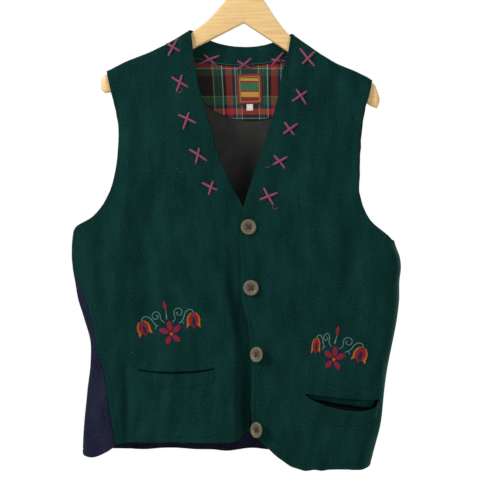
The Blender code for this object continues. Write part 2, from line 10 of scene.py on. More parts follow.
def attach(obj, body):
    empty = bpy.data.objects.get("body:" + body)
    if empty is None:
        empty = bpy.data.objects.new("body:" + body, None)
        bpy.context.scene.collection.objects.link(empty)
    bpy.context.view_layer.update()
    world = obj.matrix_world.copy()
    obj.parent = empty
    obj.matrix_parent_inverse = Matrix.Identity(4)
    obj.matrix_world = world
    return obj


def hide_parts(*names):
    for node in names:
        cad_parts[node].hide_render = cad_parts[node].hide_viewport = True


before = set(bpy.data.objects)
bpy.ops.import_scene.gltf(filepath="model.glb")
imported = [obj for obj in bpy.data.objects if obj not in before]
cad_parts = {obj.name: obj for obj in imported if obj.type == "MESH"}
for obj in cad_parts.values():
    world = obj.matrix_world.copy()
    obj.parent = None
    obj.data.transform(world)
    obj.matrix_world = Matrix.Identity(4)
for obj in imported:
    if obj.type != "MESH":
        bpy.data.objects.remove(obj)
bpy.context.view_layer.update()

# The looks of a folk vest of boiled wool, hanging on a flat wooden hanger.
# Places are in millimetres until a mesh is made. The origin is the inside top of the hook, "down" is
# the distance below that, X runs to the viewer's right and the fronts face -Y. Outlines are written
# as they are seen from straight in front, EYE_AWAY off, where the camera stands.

MM, TINY = 0.001, 1e-6
AHEAD = np.array([0.0, -1.0, 0.0])  # towards the viewer
EYE_X, EYE_DOWN, EYE_AWAY = -1.6, 458.8, 2000
FRAME_WIDE = 759.5  # what the photograph's frame takes in at the vest

WOOL, FACING, LINING, FLANNEL, TAPE = 2.2, 2.2, 0.8, 0.7, 0.5
SEAM, LOOSE = 0.3, 0.8
SEWN = 0.2  # how far the two edges of a seam run into each other
CREST, FILL_OUT = 12, 170
SIDE_FADE = 12  # how deep a side's folds take to fade in from the outline
SHOULDER_DOWN = 150.0  # the height at which the middle of the shoulders is read

# The shoulder line, with the middle and both ends run on past the cloth: x, down
SHOULDER_LINE = [
    (-288, 222), (-217, 190), (-182, 173), (-147, 159), (-116, 143), (-86, 125),
    (0, 76), (71, 131), (96, 149), (136, 175), (177, 193), (197, 204), (270, 240),
]

# The body by height: down, left outline, right outline, radius of its round sides, bow of its faces
BODY = [
    (60, -267, 226, 24, 5), (330, -267, 226, 24, 5), (430, -267, 226, 24, 6), (460, -270, 231, 25, 7),
    (476, -270, 237, 26, 8), (490, -269, 239, 26, 8), (515, -265, 237, 27, 9), (544, -260, 237, 27, 10),
    (570, -252, 234, 27, 10), (609, -241, 227, 28, 11), (639, -241, 221, 29, 11),
    (688, -247, 213, 31, 12), (746, -252, 205, 34, 13), (811, -254, 186, 37, 14),
]

# Each front from shoulder to hem: outer x, outer down, inner x, inner down
FRONT_LEFT = [
    (-217, 190, -86, 125), (-211, 218, -82, 156), (-204, 245, -78, 181), (-199, 274, -73, 212),
    (-199, 308, -64, 242), (-204, 347, -54, 277), (-216, 384, -43, 316), (-239, 415, -25, 358),
    (-267, 435, -5, 396), (-270, 460, 14, 418), (-269, 485, 22, 451), (-260, 515, 23, 488),
    (-248, 548, 23, 527), (-238, 584, 25, 564), (-233, 618, 26, 603), (-221, 654, 26, 650),
    (-215, 689, 25, 680), (-209, 728, 22, 706), (-202, 768, 20, 722),
]
# and for the right front how far the seam lies behind the outline, and how much wider the back is cut
FRONT_RIGHT = [
    (197, 204, 71, 131, 0, 0), (191, 229, 64, 164, 0, 1), (184, 251, 56, 189, 0, 3),
    (179, 277, 52, 215, 0, 5), (176, 312, 45, 245, 0, 6), (175, 346, 35, 279, 0, 6),
    (178, 384, 23, 316, 0, 4), (195, 422, 6, 363, 0, 1), (226, 450, -8, 413, 0, 0),
    (235, 473, -11, 439, 6, 0), (240, 498, -10, 470, 12, 0), (238, 525, -9, 504, 14, 0),
    (237, 555, -8, 539, 14, 0), (231, 584, 0, 575, 14, 0), (226, 618, 5, 614, 14, 0),
    (220, 656, 7, 646, 14, 0), (211, 702, 7, 679, 14, 0), (205, 749, 7, 718, 14, 0),
    (187, 806, 9, 752, 14, 0),
]
UNDERARM, HEM = 8, 18

# The hems: the level stretch, where the corner's rise starts, how far it runs and rises, and the
# rise at the side seam
HEM_LEFT = {"down": 759, "corner_x": -28, "run": 26, "rise": 14, "power": 2.5, "at_seam": -4}
HEM_RIGHT = {"down": 801, "corner_x": 90, "run": -81, "rise": 50, "power": 1.6, "at_seam": 15}
HEM_AT_SIDE = 0.2  # how much of its width the rise at the side seam takes

NECK_DIP, NECK_POWER = 21, 2.2
ROUND_HANGER_POWER = 20
# How far the back's hem hangs below the line between the seams' ends: share across it, mm
BACK_HEM = [
    (0.0, 2), (0.02, 10), (0.05, 18), (0.1, 19), (0.15, 14), (0.27, 11), (0.35, 12), (0.4, 9.2),
    (0.466, 8.6), (0.54, 9.2), (0.585, 9.6), (0.615, 6.6), (0.65, 3.6), (0.7, 3.9), (0.85, -4), (1.0, 0),
]

# Folds and hollows: side (-1 front, 1 back), from x, down, to x, down, half width, height
FOLDS = [
    (-1, -190, 370, -206, 590, 14, 7),
    (-1, -150, 380, -150, 600, 19, -8),
    (-1, -146, 540, -164, 660, 17, -4),
    (-1, -184, 640, -181, 775, 6.5, -10),
    (-1, -215, 785, 10, 785, 52, 5),
    (-1, 0, 815, 205, 830, 60, 8),
    (-1, -214, 640, -206, 760, 10, 3),
    (-1, -112, 408, -22, 448, 10, -4.5),
    (-1, -100, 440, -30, 470, 16, 2.2),
    (-1, -78, 480, -52, 512, 8, -2.2),
    (-1, -150, 300, -70, 372, 18, 2.4),
    (-1, -120, 690, -40, 745, 20, 2.0),
    (-1, 181, 430, 154, 555, 21, -8),
    (-1, -230, 590, 222, 604, 60, -5),
    (-1, 198, 440, 186, 585, 13, 4),
    (-1, 205, 640, 210, 780, 9, 3),
    (-1, 48, 690, 62, 730, 13, -3),
    (-1, 90, 330, 120, 420, 28, 2.4),
    (-1, 30, 430, 60, 600, 26, 2.6),
    (-1, 120, 720, 150, 795, 18, 3),
    (-1, 40, 760, 110, 780, 14, 2),
    (1, -150, 360, -190, 620, 26, -6),
    (1, 20, 300, -10, 700, 60, 4),
    (1, 150, 380, 120, 640, 24, -6),
    (1, -60, 560, -80, 760, 20, -5),
    (1, 70, 520, 60, 770, 17, 4),
    (1, -130, 250, -60, 330, 18, -3),
    (1, 120, 250, 60, 330, 18, -3),
    (1, -10, 400, -30, 560, 14, -3),
    (1, 160, 650, 150, 780, 12, 3.5),
    (1, -180, 640, -170, 780, 14, 3.5),
]
# The cloth's own unevenness: size of the lumps, height
LUMPS = [(70, 1.0), (26, 0.2)]

# How deep the left front dips beside and under the right front: down, depth
TUCK = [(380, 3), (450, 6), (520, 9), (610, 13), (690, 19), (770, 21)]
TUCK_FROM, TUCK_RUN = 25, 15

# Pockets: seen ends of the slit, its row, how far its lower and its upper edge sag, where the sag is
# deepest, how far the mouth stands open, and the rows that the welt covers at its ends and its middle
POCKET_LEFT = {
    "slit": (-166, -49), "row": 15, "sag": 7, "over": 5, "skew": 1, "gape": 2.5, "welt": (0.48, 0.8),
}
POCKET_RIGHT = {
    "slit": (93, 204), "row": 16, "sag": 18, "over": 3, "skew": 0.72, "gape": 8, "welt": (0.55, 0.82),
}
SLIT_SHARE = 0.05  # how much of a row the slit is high before it sags open
DROOP_ROWS = 0.6  # how far up the cloth over a mouth hangs with it
SAG_ROWS, SAG_POWER = 0.9, 0.7
BAG_DEEP, BAG_GAP, BAG_WIDER = 95, 12, 0.03
BAG_ABOVE, BAG_BELOW = 9, 5  # how far above and below the slit the bag is sewn on
WELT_PROUD, WELT_SUNK = 0.7, 0.25
# The wool inside a pocket's upper edge: how thick, how far above the slit it starts, how deep at each end
STRIP, STRIP_ABOVE, STRIP_DEEP = 1.6, 4, (17, 9)

FACING_HIGH, FACING_DIP = 33, 24
FACING_X = (-84, 69)
FACING_STITCH, FACING_GAP = 2.8, 1.4
# The facing's lower edge as seen: x, down
FACING_LOW = [
    (-84, 171), (-66, 175), (-49, 178.5), (-31, 181), (-13, 182), (5, 181), (28, 179), (46, 176),
    (60, 171), (69, 167),
]
YOKE = {"x": 6, "down": 149, "half": 108, "high": 118, "round": 0.985}
YOKE_LEAN = {"down": 215, "middle": 0.035, "by_x": 0.0007}
LABEL = {"x": (-13.5, 25.5), "down": (194, 241), "turn": -2.2}
# Its bands: colour, from and to down
LABEL_BANDS = [("#a08428", 200.5, 204.5), ("#26603f", 207.5, 219), ("#b08430", 221.5, 229.5)]
SIZE_TAG = {"x": (1, 11.2), "down": (240.5, 251), "turn": -2}

# The large cross stitches as seen: middle x, down, then for each arm its angle, and its length before and
# after the middle
CROSSES_LEFT = [
    (-113, 152, 119, 15, 16, 30, 12, 13), (-103, 206, 108, 12, 16, 31, 15, 16),
    (-92, 263, 109, 11, 18, 25, 15, 17), (-75, 319, 103, 11, 15, 33, 16, 18),
    (-54, 369, 107, 10, 13, 26, 16, 11),
]
CROSSES_RIGHT = [
    (96, 169, 51, 20, 17, 135, 15, 13), (84, 227, 57, 12, 17, 146, 13, 16),
    (68, 279, 53, 14, 12, 145, 15, 13), (51, 329, 50, 12, 15, 151, 15, 11),
    (35, 383, 60, 15, 16, 159, 15, 15),
]
CROSSES_NECK = [
    (-57, 172, 42, 12, 20, 157, 17, 18), (-4, 179, 30, 11, 16, 142, 16, 15),
    (48, 172, 132, 16, 12, 8, 8, 14),
]
# Loose ends that stand off the stitches, as seen
TAILS_LEFT = [[(-107, 220), (-103, 222), (-99, 219), (-101, 215)]]
TAILS_RIGHT = [[(43, 396), (41, 401), (45, 403), (50, 401)], [(38, 336), (34, 338.5), (30, 338)]]
CROSS_R, PLY_R, PLIES, PLY_TURN, TAIL_R = 1.85, 0.95, 3, 9.0, 0.3
HAIR_R, HAIRS = 0.11, 5

# The embroidered posy, upright, in mm from the middle of its flower, down positive
# Where each is seen, how far it is turned, and how much wider or narrower its arms are past ARM_FROM
MOTIFS = {"left": (-116, 597, -11, 1, 1), "right": (136.5, 636.5, 10, 0.62, 1.06)}
ARM_FROM = 14
PETAL_TIPS = [(-0.4, -20.4), (16.6, -10.8), (11.0, 13.6), (-10.2, 13.8), (-16.8, -10.6)]
PETAL_WIDE, PETAL_FROM, EYE_R = 7.7, 3.6, 2.4
OUTLINE_WIDER, OUTLINE_IN, OUTLINE_OUT = 4.0, 1.5, 0.3  # the blue that shows round the petals
BUD = [(-1.9, -53), (-4.6, -46.5), (-4.2, -41), (-1.5, -38.2), (0.9, -41.5), (0.5, -47.5)]
BUD_STEM = [(-1.5, -38.5), (-2.1, -31), (-2.9, -24)]
SCROLLS = [
    [(-7, -19), (-12, -25.5), (-12, -32), (-14, -36.5), (-17.5, -38), (-23.5, -36), (-25, -30.5),
     (-21, -27), (-17, -28), (-15, -31), (-18.5, -32.5)],
    [(5, -17.5), (10, -21.5), (10, -29.5), (11.5, -35), (16, -37.5), (21, -36), (23, -31), (20.5, -27),
     (16.5, -26.5), (14, -29.5), (16, -32)],
]
STEMS = [
    [(-21, -17), (-25, -23), (-28.5, -29.5), (-34, -33.5), (-40.5, -32.5), (-43, -27.5)],
    [(19.5, -16), (23.5, -21), (27.5, -28.5), (33, -32), (37.5, -31.5), (40.5, -26)],
    [(-24, -12), (-21.5, -16.5)], [(-18, -17), (-21, -17)],
    [(15, -14), (19, -16.5)], [(22.5, -12.5), (19.5, -16)],
]
BELLS = [(-43.2, -28.4, -9), (40, -26.4, 10)]  # where each hangs from and how far it is turned
BELL_BODY = [
    (0, 0.5), (-6, 3), (-8.4, 9), (-7.8, 15), (-5.8, 19.6), (-3, 20.6), (0, 25.2), (3, 20.6), (5.8, 19.6),
    (7.8, 15), (8.4, 9), (6, 3),
]
BELL_SIDE = [
    (2.0, 0.4), (6, 1.7), (9.3, 6.5), (10.4, 12), (10.2, 17), (11, 24), (6, 19.5), (7.7, 14),
    (7.8, 8.5), (5.2, 3.6),
]
BELL_HEART = (13.5, 2.2, 7.2)  # its middle below the top, half width, half height
SATIN_GAP, SATIN_R, SATIN_HIGH = 0.62, 0.42, 0.7
SCROLL_R, STEM_R, STEM_TURN = 0.37, 0.42, 3.4

BUTTON_THICK, BUTTON_HOLE_R, BUTTON_HOLES_AT = 4, 1.1, 2.6
# A button's section: how far out and how high, from the dish's middle round to the foot's
BUTTON_SECTION = [
    (0, 2.5), (3.4, 2.5), (5.8, 2.6), (7.2, 3.0), (8.3, 3.7), (9.3, 4.0), (10.3, 3.95), (11.2, 3.6),
    (11.8, 2.9), (12.0, 2.1), (11.7, 1.3), (11.0, 0.6), (9.6, 0.1), (8.0, 0), (0, 0),
]
SHARP = math.radians(50)  # edges that turn more than this stay crisp
# The buttons as seen: x, down, turned to the left, leant, how far the middle stands off the cloth
BUTTONS = [(4, 431, 0, 0, 0.5), (8, 525, 5, 0, 1.0), (17.5, 629, 38, 8, 5.0), (17.5, 745, 45, 14, 5.2)]

# The hanger's outline in slices: x, upper edge down, lower edge down
HANGER = [
    (-224, 203, 218), (-219, 197, 223), (-208, 191, 222), (-182, 177, 208), (-147, 163, 190),
    (-116, 147.2, 173), (-84, 130, 156), (-67, 118, 147.5), (-51, 103, 139.4), (-30, 79, 128.8),
    (-16, 66, 121.7), (-3, 60, 115), (14, 66, 126), (27, 79, 134.5), (46, 108, 147), (67, 134, 161),
    (96, 153.4, 181), (136, 179.2, 207), (177, 196.8, 232), (193, 206, 243), (203, 217, 247),
    (207, 228, 240),
]
HANGER_THICK, HANGER_ROUND = 12, 3.0
HOOK_WIRE_R, HOOK_BEND_R = 1.9, 21
HOOK_STEM = [(-3, 60.3), (-3, 54), (-3, 49), (-1.5, 45.5)]
HOOK_TURN = (-62, 205)

# Each soft box: where it stands, its side and its power, in metres and watts
SOFT_BOXES = [
    ("key", (-2.6, -1.9, 1.2), 1.2, 105), ("fill", (1.9, -2.9, 0.5), 1.6, 30),
    ("back", (2.2, 2.0, 0.2), 1.4, 120),
]
LIGHT_AIM = (0, 0, -0.45)
WALL_LIGHT = 0.38
FLOOR_R, FLOOR_DOWN = 3.3, 1.65
SENSOR = 36

# Distances from an edge, and from a pocket's slit, at which a fine grid has its lines: the turned edge is
# round up to EDGE_ROUND and its stitching lies STITCHED in.
EDGE_LINES = (0, 0.25, 0.8, 1.6, 3.0, 5.2, 7.4, 8.4, 9.4, 11.5)
SLIT_LINES = (0, 0.35, 1.0, 2.0)
EDGE_ROUND, STITCHED, STITCH_DEEP, STITCH_WIDE = 1.7, 8.4, 0.9, 1.1
STITCH_LONG, STITCH_GAP, EDGE_WANDER, PUCKER = 3.6, 0.9, 1.2, 0.35
# How thick the threads are: in the hems, the facing, round the welts and through the buttons' holes
HEM_THREAD_R, FACING_THREAD_R, WELT_SEAM_R, HOLE_THREAD_R = 0.42, 0.3, 0.55, 0.36
SHANK_R, SHANK_THREAD_R, SHANK_THREADS = 1.2, 0.62, 6
# About how many mm a row is high, at the slit and in general, and a panel is wide
SLIT_ROW, ROW, PANEL_WIDE = 34, 38, 220
YOKE_DEEP = WOOL + LINING + SEAM + LOOSE  # how deep the yoke lies below the back's outer face


def spline(knots, rows, at):
    """The smooth curve through rows, one at each knot, read at the places given."""
    knots, rows, at = (np.asarray(v, float) for v in (knots, rows, at))
    slopes = np.gradient(rows, knots, axis=0)
    i = np.clip(np.searchsorted(knots, at, side="right") - 1, 0, len(knots) - 2)
    wide = knots[i + 1] - knots[i]
    t = np.clip((at - knots[i]) / wide, 0, 1)
    if rows.ndim > 1:
        wide, t = wide[..., None], t[..., None]
    start, end = rows[i], rows[i + 1]
    bend = (1 - t) * (slopes[i] * wide - (end - start)) - t * (slopes[i + 1] * wide - (end - start))
    return start + (end - start) * t + t * (1 - t) * bend


def ease(t):
    t = np.clip(t, 0, 1)
    return t * t * (3 - 2 * t)


def blend(t, start, end):
    return start + (end - start) * t


def unit(rows):
    return rows / np.linalg.norm(rows, axis=-1, keepdims=True)


def run_of(path):
    """How far along a path each of its points lies."""
    return np.concatenate([[0], np.cumsum(np.linalg.norm(np.diff(path, axis=0), axis=1))])


def lumps(points, size, seed):
    """Smooth noise from -1 to 1 with lumps of this size, the same on every run."""
    at = points / size
    cell = np.floor(at).astype(np.int64)
    part = ease(at - cell)
    total = np.zeros(points.shape[:-1])
    for corner in itertools.product((0, 1), repeat=3):
        key = ((cell + corner) @ np.array([73856093, 19349663, 83492791]) + seed * 7919) & 0xFFFFFFF
        key = (key ^ (key >> 11)) * 69069 & 0xFFFFFFF
        value = ((key ^ (key >> 13)) & 0xFFFF) / 32767.5 - 1
        total += value * np.prod(np.where(corner, part, 1 - part), axis=-1)
    return total


def crest(x):
    line = np.array(SHOULDER_LINE, float)
    return spline(line[:, 0], line[:, 1], x)


def body(down):
    """Middle x, half of the flat width, side radius and bow of the body at a height."""
    rows = np.array(BODY, float)
    left, right, side, bow = np.moveaxis(spline(rows[:, 0], rows[:, 1:], down), -1, 0)
    return (left + right) / 2, (right - left) / 2 - side, side, bow


def body_point(along, fall, face):
    """A point of the outer face, along mm round from its middle and fall mm down the cloth."""
    middle, flat, side, bow = body(fall)
    over = np.maximum(np.abs(along) - flat, 0)
    bend = np.minimum(over / side, math.pi)
    past = np.maximum(over - math.pi * side, 0)
    reach = np.minimum(np.abs(along), flat) + side * np.sin(bend) - past
    x = middle + np.sign(along) * reach
    top = crest(x)
    up = np.clip((top + CREST - fall) / CREST, 0, math.pi / 2)
    down = np.where(up > 0, top + CREST - CREST * np.sin(up), fall)
    filled = ease((down - top - CREST) / FILL_OUT)
    belly = np.clip(1 - ((x - middle) / flat) ** 2, 0, 1)
    deep = (CREST + ((side - CREST) + bow * belly) * filled) * np.cos(up)
    return np.stack([x, face * deep * np.cos(bend), -down], axis=-1)


def normals(surface, along, fall, face):
    step = 0.5
    across = surface(along + step, fall) - surface(along - step, fall)
    below = surface(along, fall + step) - surface(along, fall - step)
    return unit(face * np.cross(across, below))


def fold_height(points):
    """How far the folds lift the cloth at these points of the plain body."""
    x, y, down = points[..., 0], points[..., 1], -points[..., 2]
    height = np.zeros_like(x)
    for side, x0, down0, x1, down1, width, high in FOLDS:
        run = np.array([x1 - x0, down1 - down0], float)
        t = np.clip(((x - x0) * run[0] + (down - down0) * run[1]) / (run @ run), 0, 1)
        away = np.hypot(x - x0 - t * run[0], down - down0 - t * run[1])
        on_side = np.clip(side * y / SIDE_FADE, 0, 1)
        tapered = np.sqrt(np.clip(4 * t * (1 - t), 0, 1))
        height += high * on_side * tapered * np.exp(-((away / width) ** 2))
    below_hanger = ease((down - crest(x) - 2 * CREST) / 60)
    for seed, (size, high) in enumerate(LUMPS):
        height += high * below_hanger * lumps(points, size, seed)
    return height


def folded(face):
    def surface(along, fall):
        plain = body_point(along, fall, face)
        out = normals(lambda a, f: body_point(a, f, face), along, fall, face)
        return plain + out * fold_height(plain)[..., None]
    return surface


def off_face(along, fall, face, out):
    """Points this far out from a folded face of the body, and the way out of it."""
    surface = folded(face)
    way = normals(surface, along, fall, face)
    return surface(along, fall) + way * np.broadcast_to(out, np.shape(fall))[..., None], way


def along_at(x, down):
    """How far round from the middle of its face a place at x lies."""
    middle, flat, side, _ = body(down)
    off = np.abs(x - middle)
    over = np.clip((off - flat) / side, 0, 1)
    return np.sign(x - middle) * (np.minimum(off, flat) + side * np.arcsin(over))


def fall_at(x, down):
    top = crest(x) + CREST
    return np.where(down < top, top - CREST * np.arcsin(np.clip((top - down) / CREST, 0, 1)), down)


def as_seen(x, down, face):
    """(along, fall) of the place on a face that is seen at x and down."""
    x, down = np.asarray(x, float), np.asarray(down, float)
    true_x, true_down = x, down
    for _ in range(4):
        along, fall = along_at(true_x, true_down), fall_at(true_x, true_down)
        scale = 1 + body_point(along, fall, face)[..., 1] / EYE_AWAY
        true_x = EYE_X + (x - EYE_X) * scale
        true_down = EYE_DOWN + (down - EYE_DOWN) * scale
    return along_at(true_x, true_down), fall_at(true_x, true_down)


def seam_fall(x):
    """The fall of the shoulder seam, at the crest's top."""
    return crest(x) + CREST - CREST * math.pi / 2 + 0.01


def girth(fall):
    """Half the way round the body at this height."""
    _, flat, side, _ = body(fall)
    return 2 * flat + math.pi * side


class Panel:
    """A front or the back as a grid: row 0 at the shoulder to HEM, share 0 to 1 across it."""

    def __init__(self, face, edges, top, hem, lift=None, pocket=None):
        self.face, self.edges, self.top, self.hem = face, edges, top, hem
        self.lift = lift or (lambda along, fall, row: np.zeros_like(fall))
        self.pocket = pocket
        self.slit = slit_shares(edges, pocket) if pocket else None

    def sag(self, row, share):
        """How much of its pocket's sag the cloth has here: all of it at the slit's lower edge."""
        if not self.pocket:
            return np.zeros_like(row)
        under = row - self.pocket["row"]
        below = np.clip(1 - under / SAG_ROWS, 0, 1) * (under > -TINY)
        return ease(below) * self.across_mouth(share)

    def droop(self, row, share):
        """The same for the slit's upper edge and the cloth above it."""
        over = self.pocket["row"] - SLIT_SHARE - row
        above = np.clip(1 - over / DROOP_ROWS, 0, 1) * (over > -TINY)
        return ease(above) * self.across_mouth(share)

    def across_mouth(self, share):
        """0 at the ends of the slit and 1 where its sag is deepest."""
        low, high = self.slit
        across = np.clip((share - low) / (high - low), 0, 1) ** self.pocket["skew"]
        return np.sin(math.pi * across) ** SAG_POWER

    def place(self, row, share):
        """(along, fall) of a place on the panel's outer face."""
        row, share = np.broadcast_arrays(np.asarray(row, float), np.asarray(share, float))
        (a0, f0), (a1, f1) = self.edges(row)
        along, fall = blend(share, a0, a1), blend(share, f0, f1)
        level = fall
        zero, last = np.zeros_like(row), np.full_like(row, HEM)
        for at, line, weight in (
            (zero, self.top, np.clip(1 - row / 4, 0, 1) ** 2),
            (last, self.hem, np.clip(1 - (HEM - row) / 3, 0, 1) ** 2),
        ):
            (b0, g0), (b1, g1) = self.edges(at)
            there = blend(share, b0, b1)
            fall = fall + (line(there, share) - blend(share, g0, g1)) * weight
        if self.face > 0:
            # The back's side seams stay on the fronts' where the hem moves them up or down.
            along = along + (2 * share - 1) * (girth(fall) - girth(level)) * np.clip(row - UNDERARM, 0, 1)
        if self.pocket:
            fall = fall + self.pocket["sag"] * self.sag(row, share)
            fall = fall + self.pocket["over"] * self.droop(row, share)
        return along, fall

    def row_high(self, row, share, step=0.25):
        """How high a row is here, in mm."""
        return (self.place(row + step, share)[1] - self.place(row, share)[1]) / step

    def points(self, row, share, out=0.0):
        """Points of the panel, moved out from its outer face."""
        row, share = np.broadcast_arrays(np.asarray(row, float), np.asarray(share, float))
        along, fall = self.place(row, share)
        lift = self.lift(along, fall, row) + out
        if self.pocket:
            lift = lift + self.pocket["gape"] * self.sag(row, share)
        return off_face(along, fall, self.face, lift)[0]


def edge_curves(table, behind=None):
    """Both edges of a front as (along, fall) by row. Its seam can lie some way behind the outline."""
    table = np.array(table, float)
    outer = np.stack(as_seen(table[:, 0], table[:, 1], -1), axis=-1)
    inner = np.stack(as_seen(table[:, 2], table[:, 3], -1), axis=-1)
    for edge in (outer, inner):
        edge[0, 1] = seam_fall(body(edge[0, 1])[0] + edge[0, 0])
    if behind is not None:
        _, flat, side, _ = body(outer[:, 1])
        outer[:, 0] = np.where(behind > 0, flat + side * math.pi / 2 + behind, outer[:, 0])
    rows = np.arange(len(table))

    def edges(row):
        found = (np.moveaxis(spline(rows, edge, row), -1, 0) for edge in (outer, inner))
        return tuple(tuple(pair) for pair in found)
    return edges


def x_at(along, down):
    """X this far round from the middle, where the body is flat."""
    return body(np.full_like(along, down))[0] + along


def seam_line(along, share):
    return seam_fall(x_at(along, SHOULDER_DOWN))


def front_hem(hem):
    """The hem of a front: level, risen at its round corner, and a little at the side seam."""
    def line(along, share):
        x = x_at(along, hem["down"])
        corner = np.clip((x - hem["corner_x"]) / hem["run"], 0, 1.05) ** hem["power"]
        at_side = np.clip(1 - share / HEM_AT_SIDE, 0, 1) ** 2
        return hem["down"] - hem["rise"] * corner - hem["at_seam"] * at_side
    return line


def under_the_overlap(along, fall, row):
    """The left front sinks beside the right front's edge and passes under it."""
    edge, _ = right.edges(row)[1]
    rows = np.array(TUCK, float)
    depth = spline(rows[:, 0], rows[:, 1], np.clip(fall, rows[0, 0], rows[-1, 0]))
    started = ease((row - UNDERARM + 2) / 2)
    return -depth * ease((along - edge + TUCK_FROM) / TUCK_RUN) * started


def slit_shares(edges, pocket):
    """The shares across a front at which its pocket slit starts and ends."""
    (outer, fall), (inner, _) = edges(np.array(float(pocket["row"])))
    ends = as_seen(np.array(pocket["slit"]), np.full(2, float(fall)), -1)[0]
    return tuple(sorted(float((end - outer) / (inner - outer)) for end in ends))


def back_edges(row):
    """The back's edges: each armhole mirrored from its front, then the far side of each seam."""
    found = []
    for front, cut in ((left, np.zeros(HEM + 1)), (right, BACK_CUT)):
        along, fall = front.edges(row)[0]
        beyond = girth(fall) - np.abs(along)
        wider = np.abs(along) + spline(np.arange(HEM + 1), cut, row)
        reach = np.where(row > UNDERARM, beyond, wider) + SEWN
        found.append((np.sign(along) * reach, fall))
    return tuple(found)


def across_neck(x):
    """-1 at the left end of the neckline to 1 at its right end."""
    (x0, _), (x1, _) = NECK_POINTS
    return (2 * x - x0 - x1) / (x1 - x0)


def back_top(along, share):
    """Shoulder seam, neckline, shoulder seam."""
    x = x_at(along, SHOULDER_DOWN)
    q = across_neck(x)
    neck = blend((q + 1) / 2, *(seam_fall(np.array(float(p[0]))) for p in NECK_POINTS))
    away = np.minimum(np.abs(q), 1)
    over = CREST * (math.pi / 2 - 1) * (1 - away**ROUND_HANGER_POWER)
    return np.where(away < 1, neck + over + NECK_DIP * (1 - away**NECK_POWER), seam_fall(x))


def facing_top(x):
    """The upper edge of the neck facing, as seen through the neck."""
    q = across_neck(x)
    dip = FACING_DIP * (1 - np.minimum(np.abs(q), 1) ** NECK_POWER)
    return blend((q + 1) / 2, NECK_POINTS[0][1], NECK_POINTS[1][1]) + dip


def facing_low(x):
    return spline(*np.array(FACING_LOW, float).T, x)


def back_hem(along, share):
    rows = np.array(BACK_HEM)
    low = blend(share, left_hem_end, right_hem_end)
    return low + spline(rows[:, 0], rows[:, 1], share)


NODE_NAMES = {
    "coordinates": "TexCoord", "uv": "UVMap", "noise": "TexNoise", "cells": "TexVoronoi", "math": "Math",
    "vector": "VectorMath", "ramp": "ValToRGB", "mix": "Mix", "bump": "Bump", "map": "MapRange",
    "split": "SeparateXYZ", "attribute": "Attribute", "rays": "LightPath",
}


def linear(code):
    """A linear colour from an sRGB hex value."""
    parts = [int(code[i:i + 2], 16) / 255 for i in (1, 3, 5)]
    return (*(p / 12.92 if p < 0.04045 else ((p + 0.055) / 1.055) ** 2.4 for p in parts), 1.0)


def feed(look, socket, value):
    """Gives a socket a value, or links it to another socket or to a node's first output."""
    if isinstance(value, bpy.types.Node):
        value = value.outputs[0]
    if isinstance(value, bpy.types.NodeSocket):
        look.node_tree.links.new(value, socket)
    else:
        socket.default_value = value


def add(look, kind, sockets=(), stops=(), **settings):
    """Adds a node: its sockets, in order or by name, get values or links, and stops fill a ramp."""
    made = look.node_tree.nodes.new("ShaderNode" + NODE_NAMES[kind])
    for name, value in settings.items():
        setattr(made, name, value)
    while stops and len(made.color_ramp.elements) < len(stops):
        made.color_ramp.elements.new(0.5)
    for i, (at, colour) in enumerate(stops):
        made.color_ramp.elements[i].position = at
        made.color_ramp.elements[i].color = linear(colour)
    for name, value in sockets.items() if isinstance(sockets, dict) else enumerate(sockets):
        feed(look, made.inputs[name], value)
    return made


def finish_of(name, **constants):
    """A new material with constants set on its shader's own sockets."""
    look = bpy.data.materials.new(name)
    look.use_nodes = True
    for socket, value in constants.items():
        look.node_tree.nodes["Principled BSDF"].inputs[socket.replace("_", " ")].default_value = value
    return look


def dress(look, colour, bump=None, roughness=None):
    """Links a material's colour, bump and roughness to its shader, and gives the material back."""
    for socket, source in (("Base Color", colour), ("Normal", bump), ("Roughness", roughness)):
        if source is not None:
            feed(look, look.node_tree.nodes["Principled BSDF"].inputs[socket], source)
    return look


def in_mm(look, source):
    return add(look, "vector", {0: source, "Scale": 1000.0}, operation="SCALE")


def cloth_mm(look):
    """Places on the flat cloth, in millimetres, from its own UV map."""
    return in_mm(look, add(look, "uv", uv_map="cloth"))


def solid_mm(look):
    """Places in the piece itself, in millimetres."""
    return in_mm(look, add(look, "coordinates").outputs["Object"])


def sine_of(look, source, period):
    """A wave from -1 to 1 with this period, along one coordinate."""
    phase = add(look, "math", [source, math.tau / period], operation="MULTIPLY")
    return add(look, "math", [phase], operation="SINE")


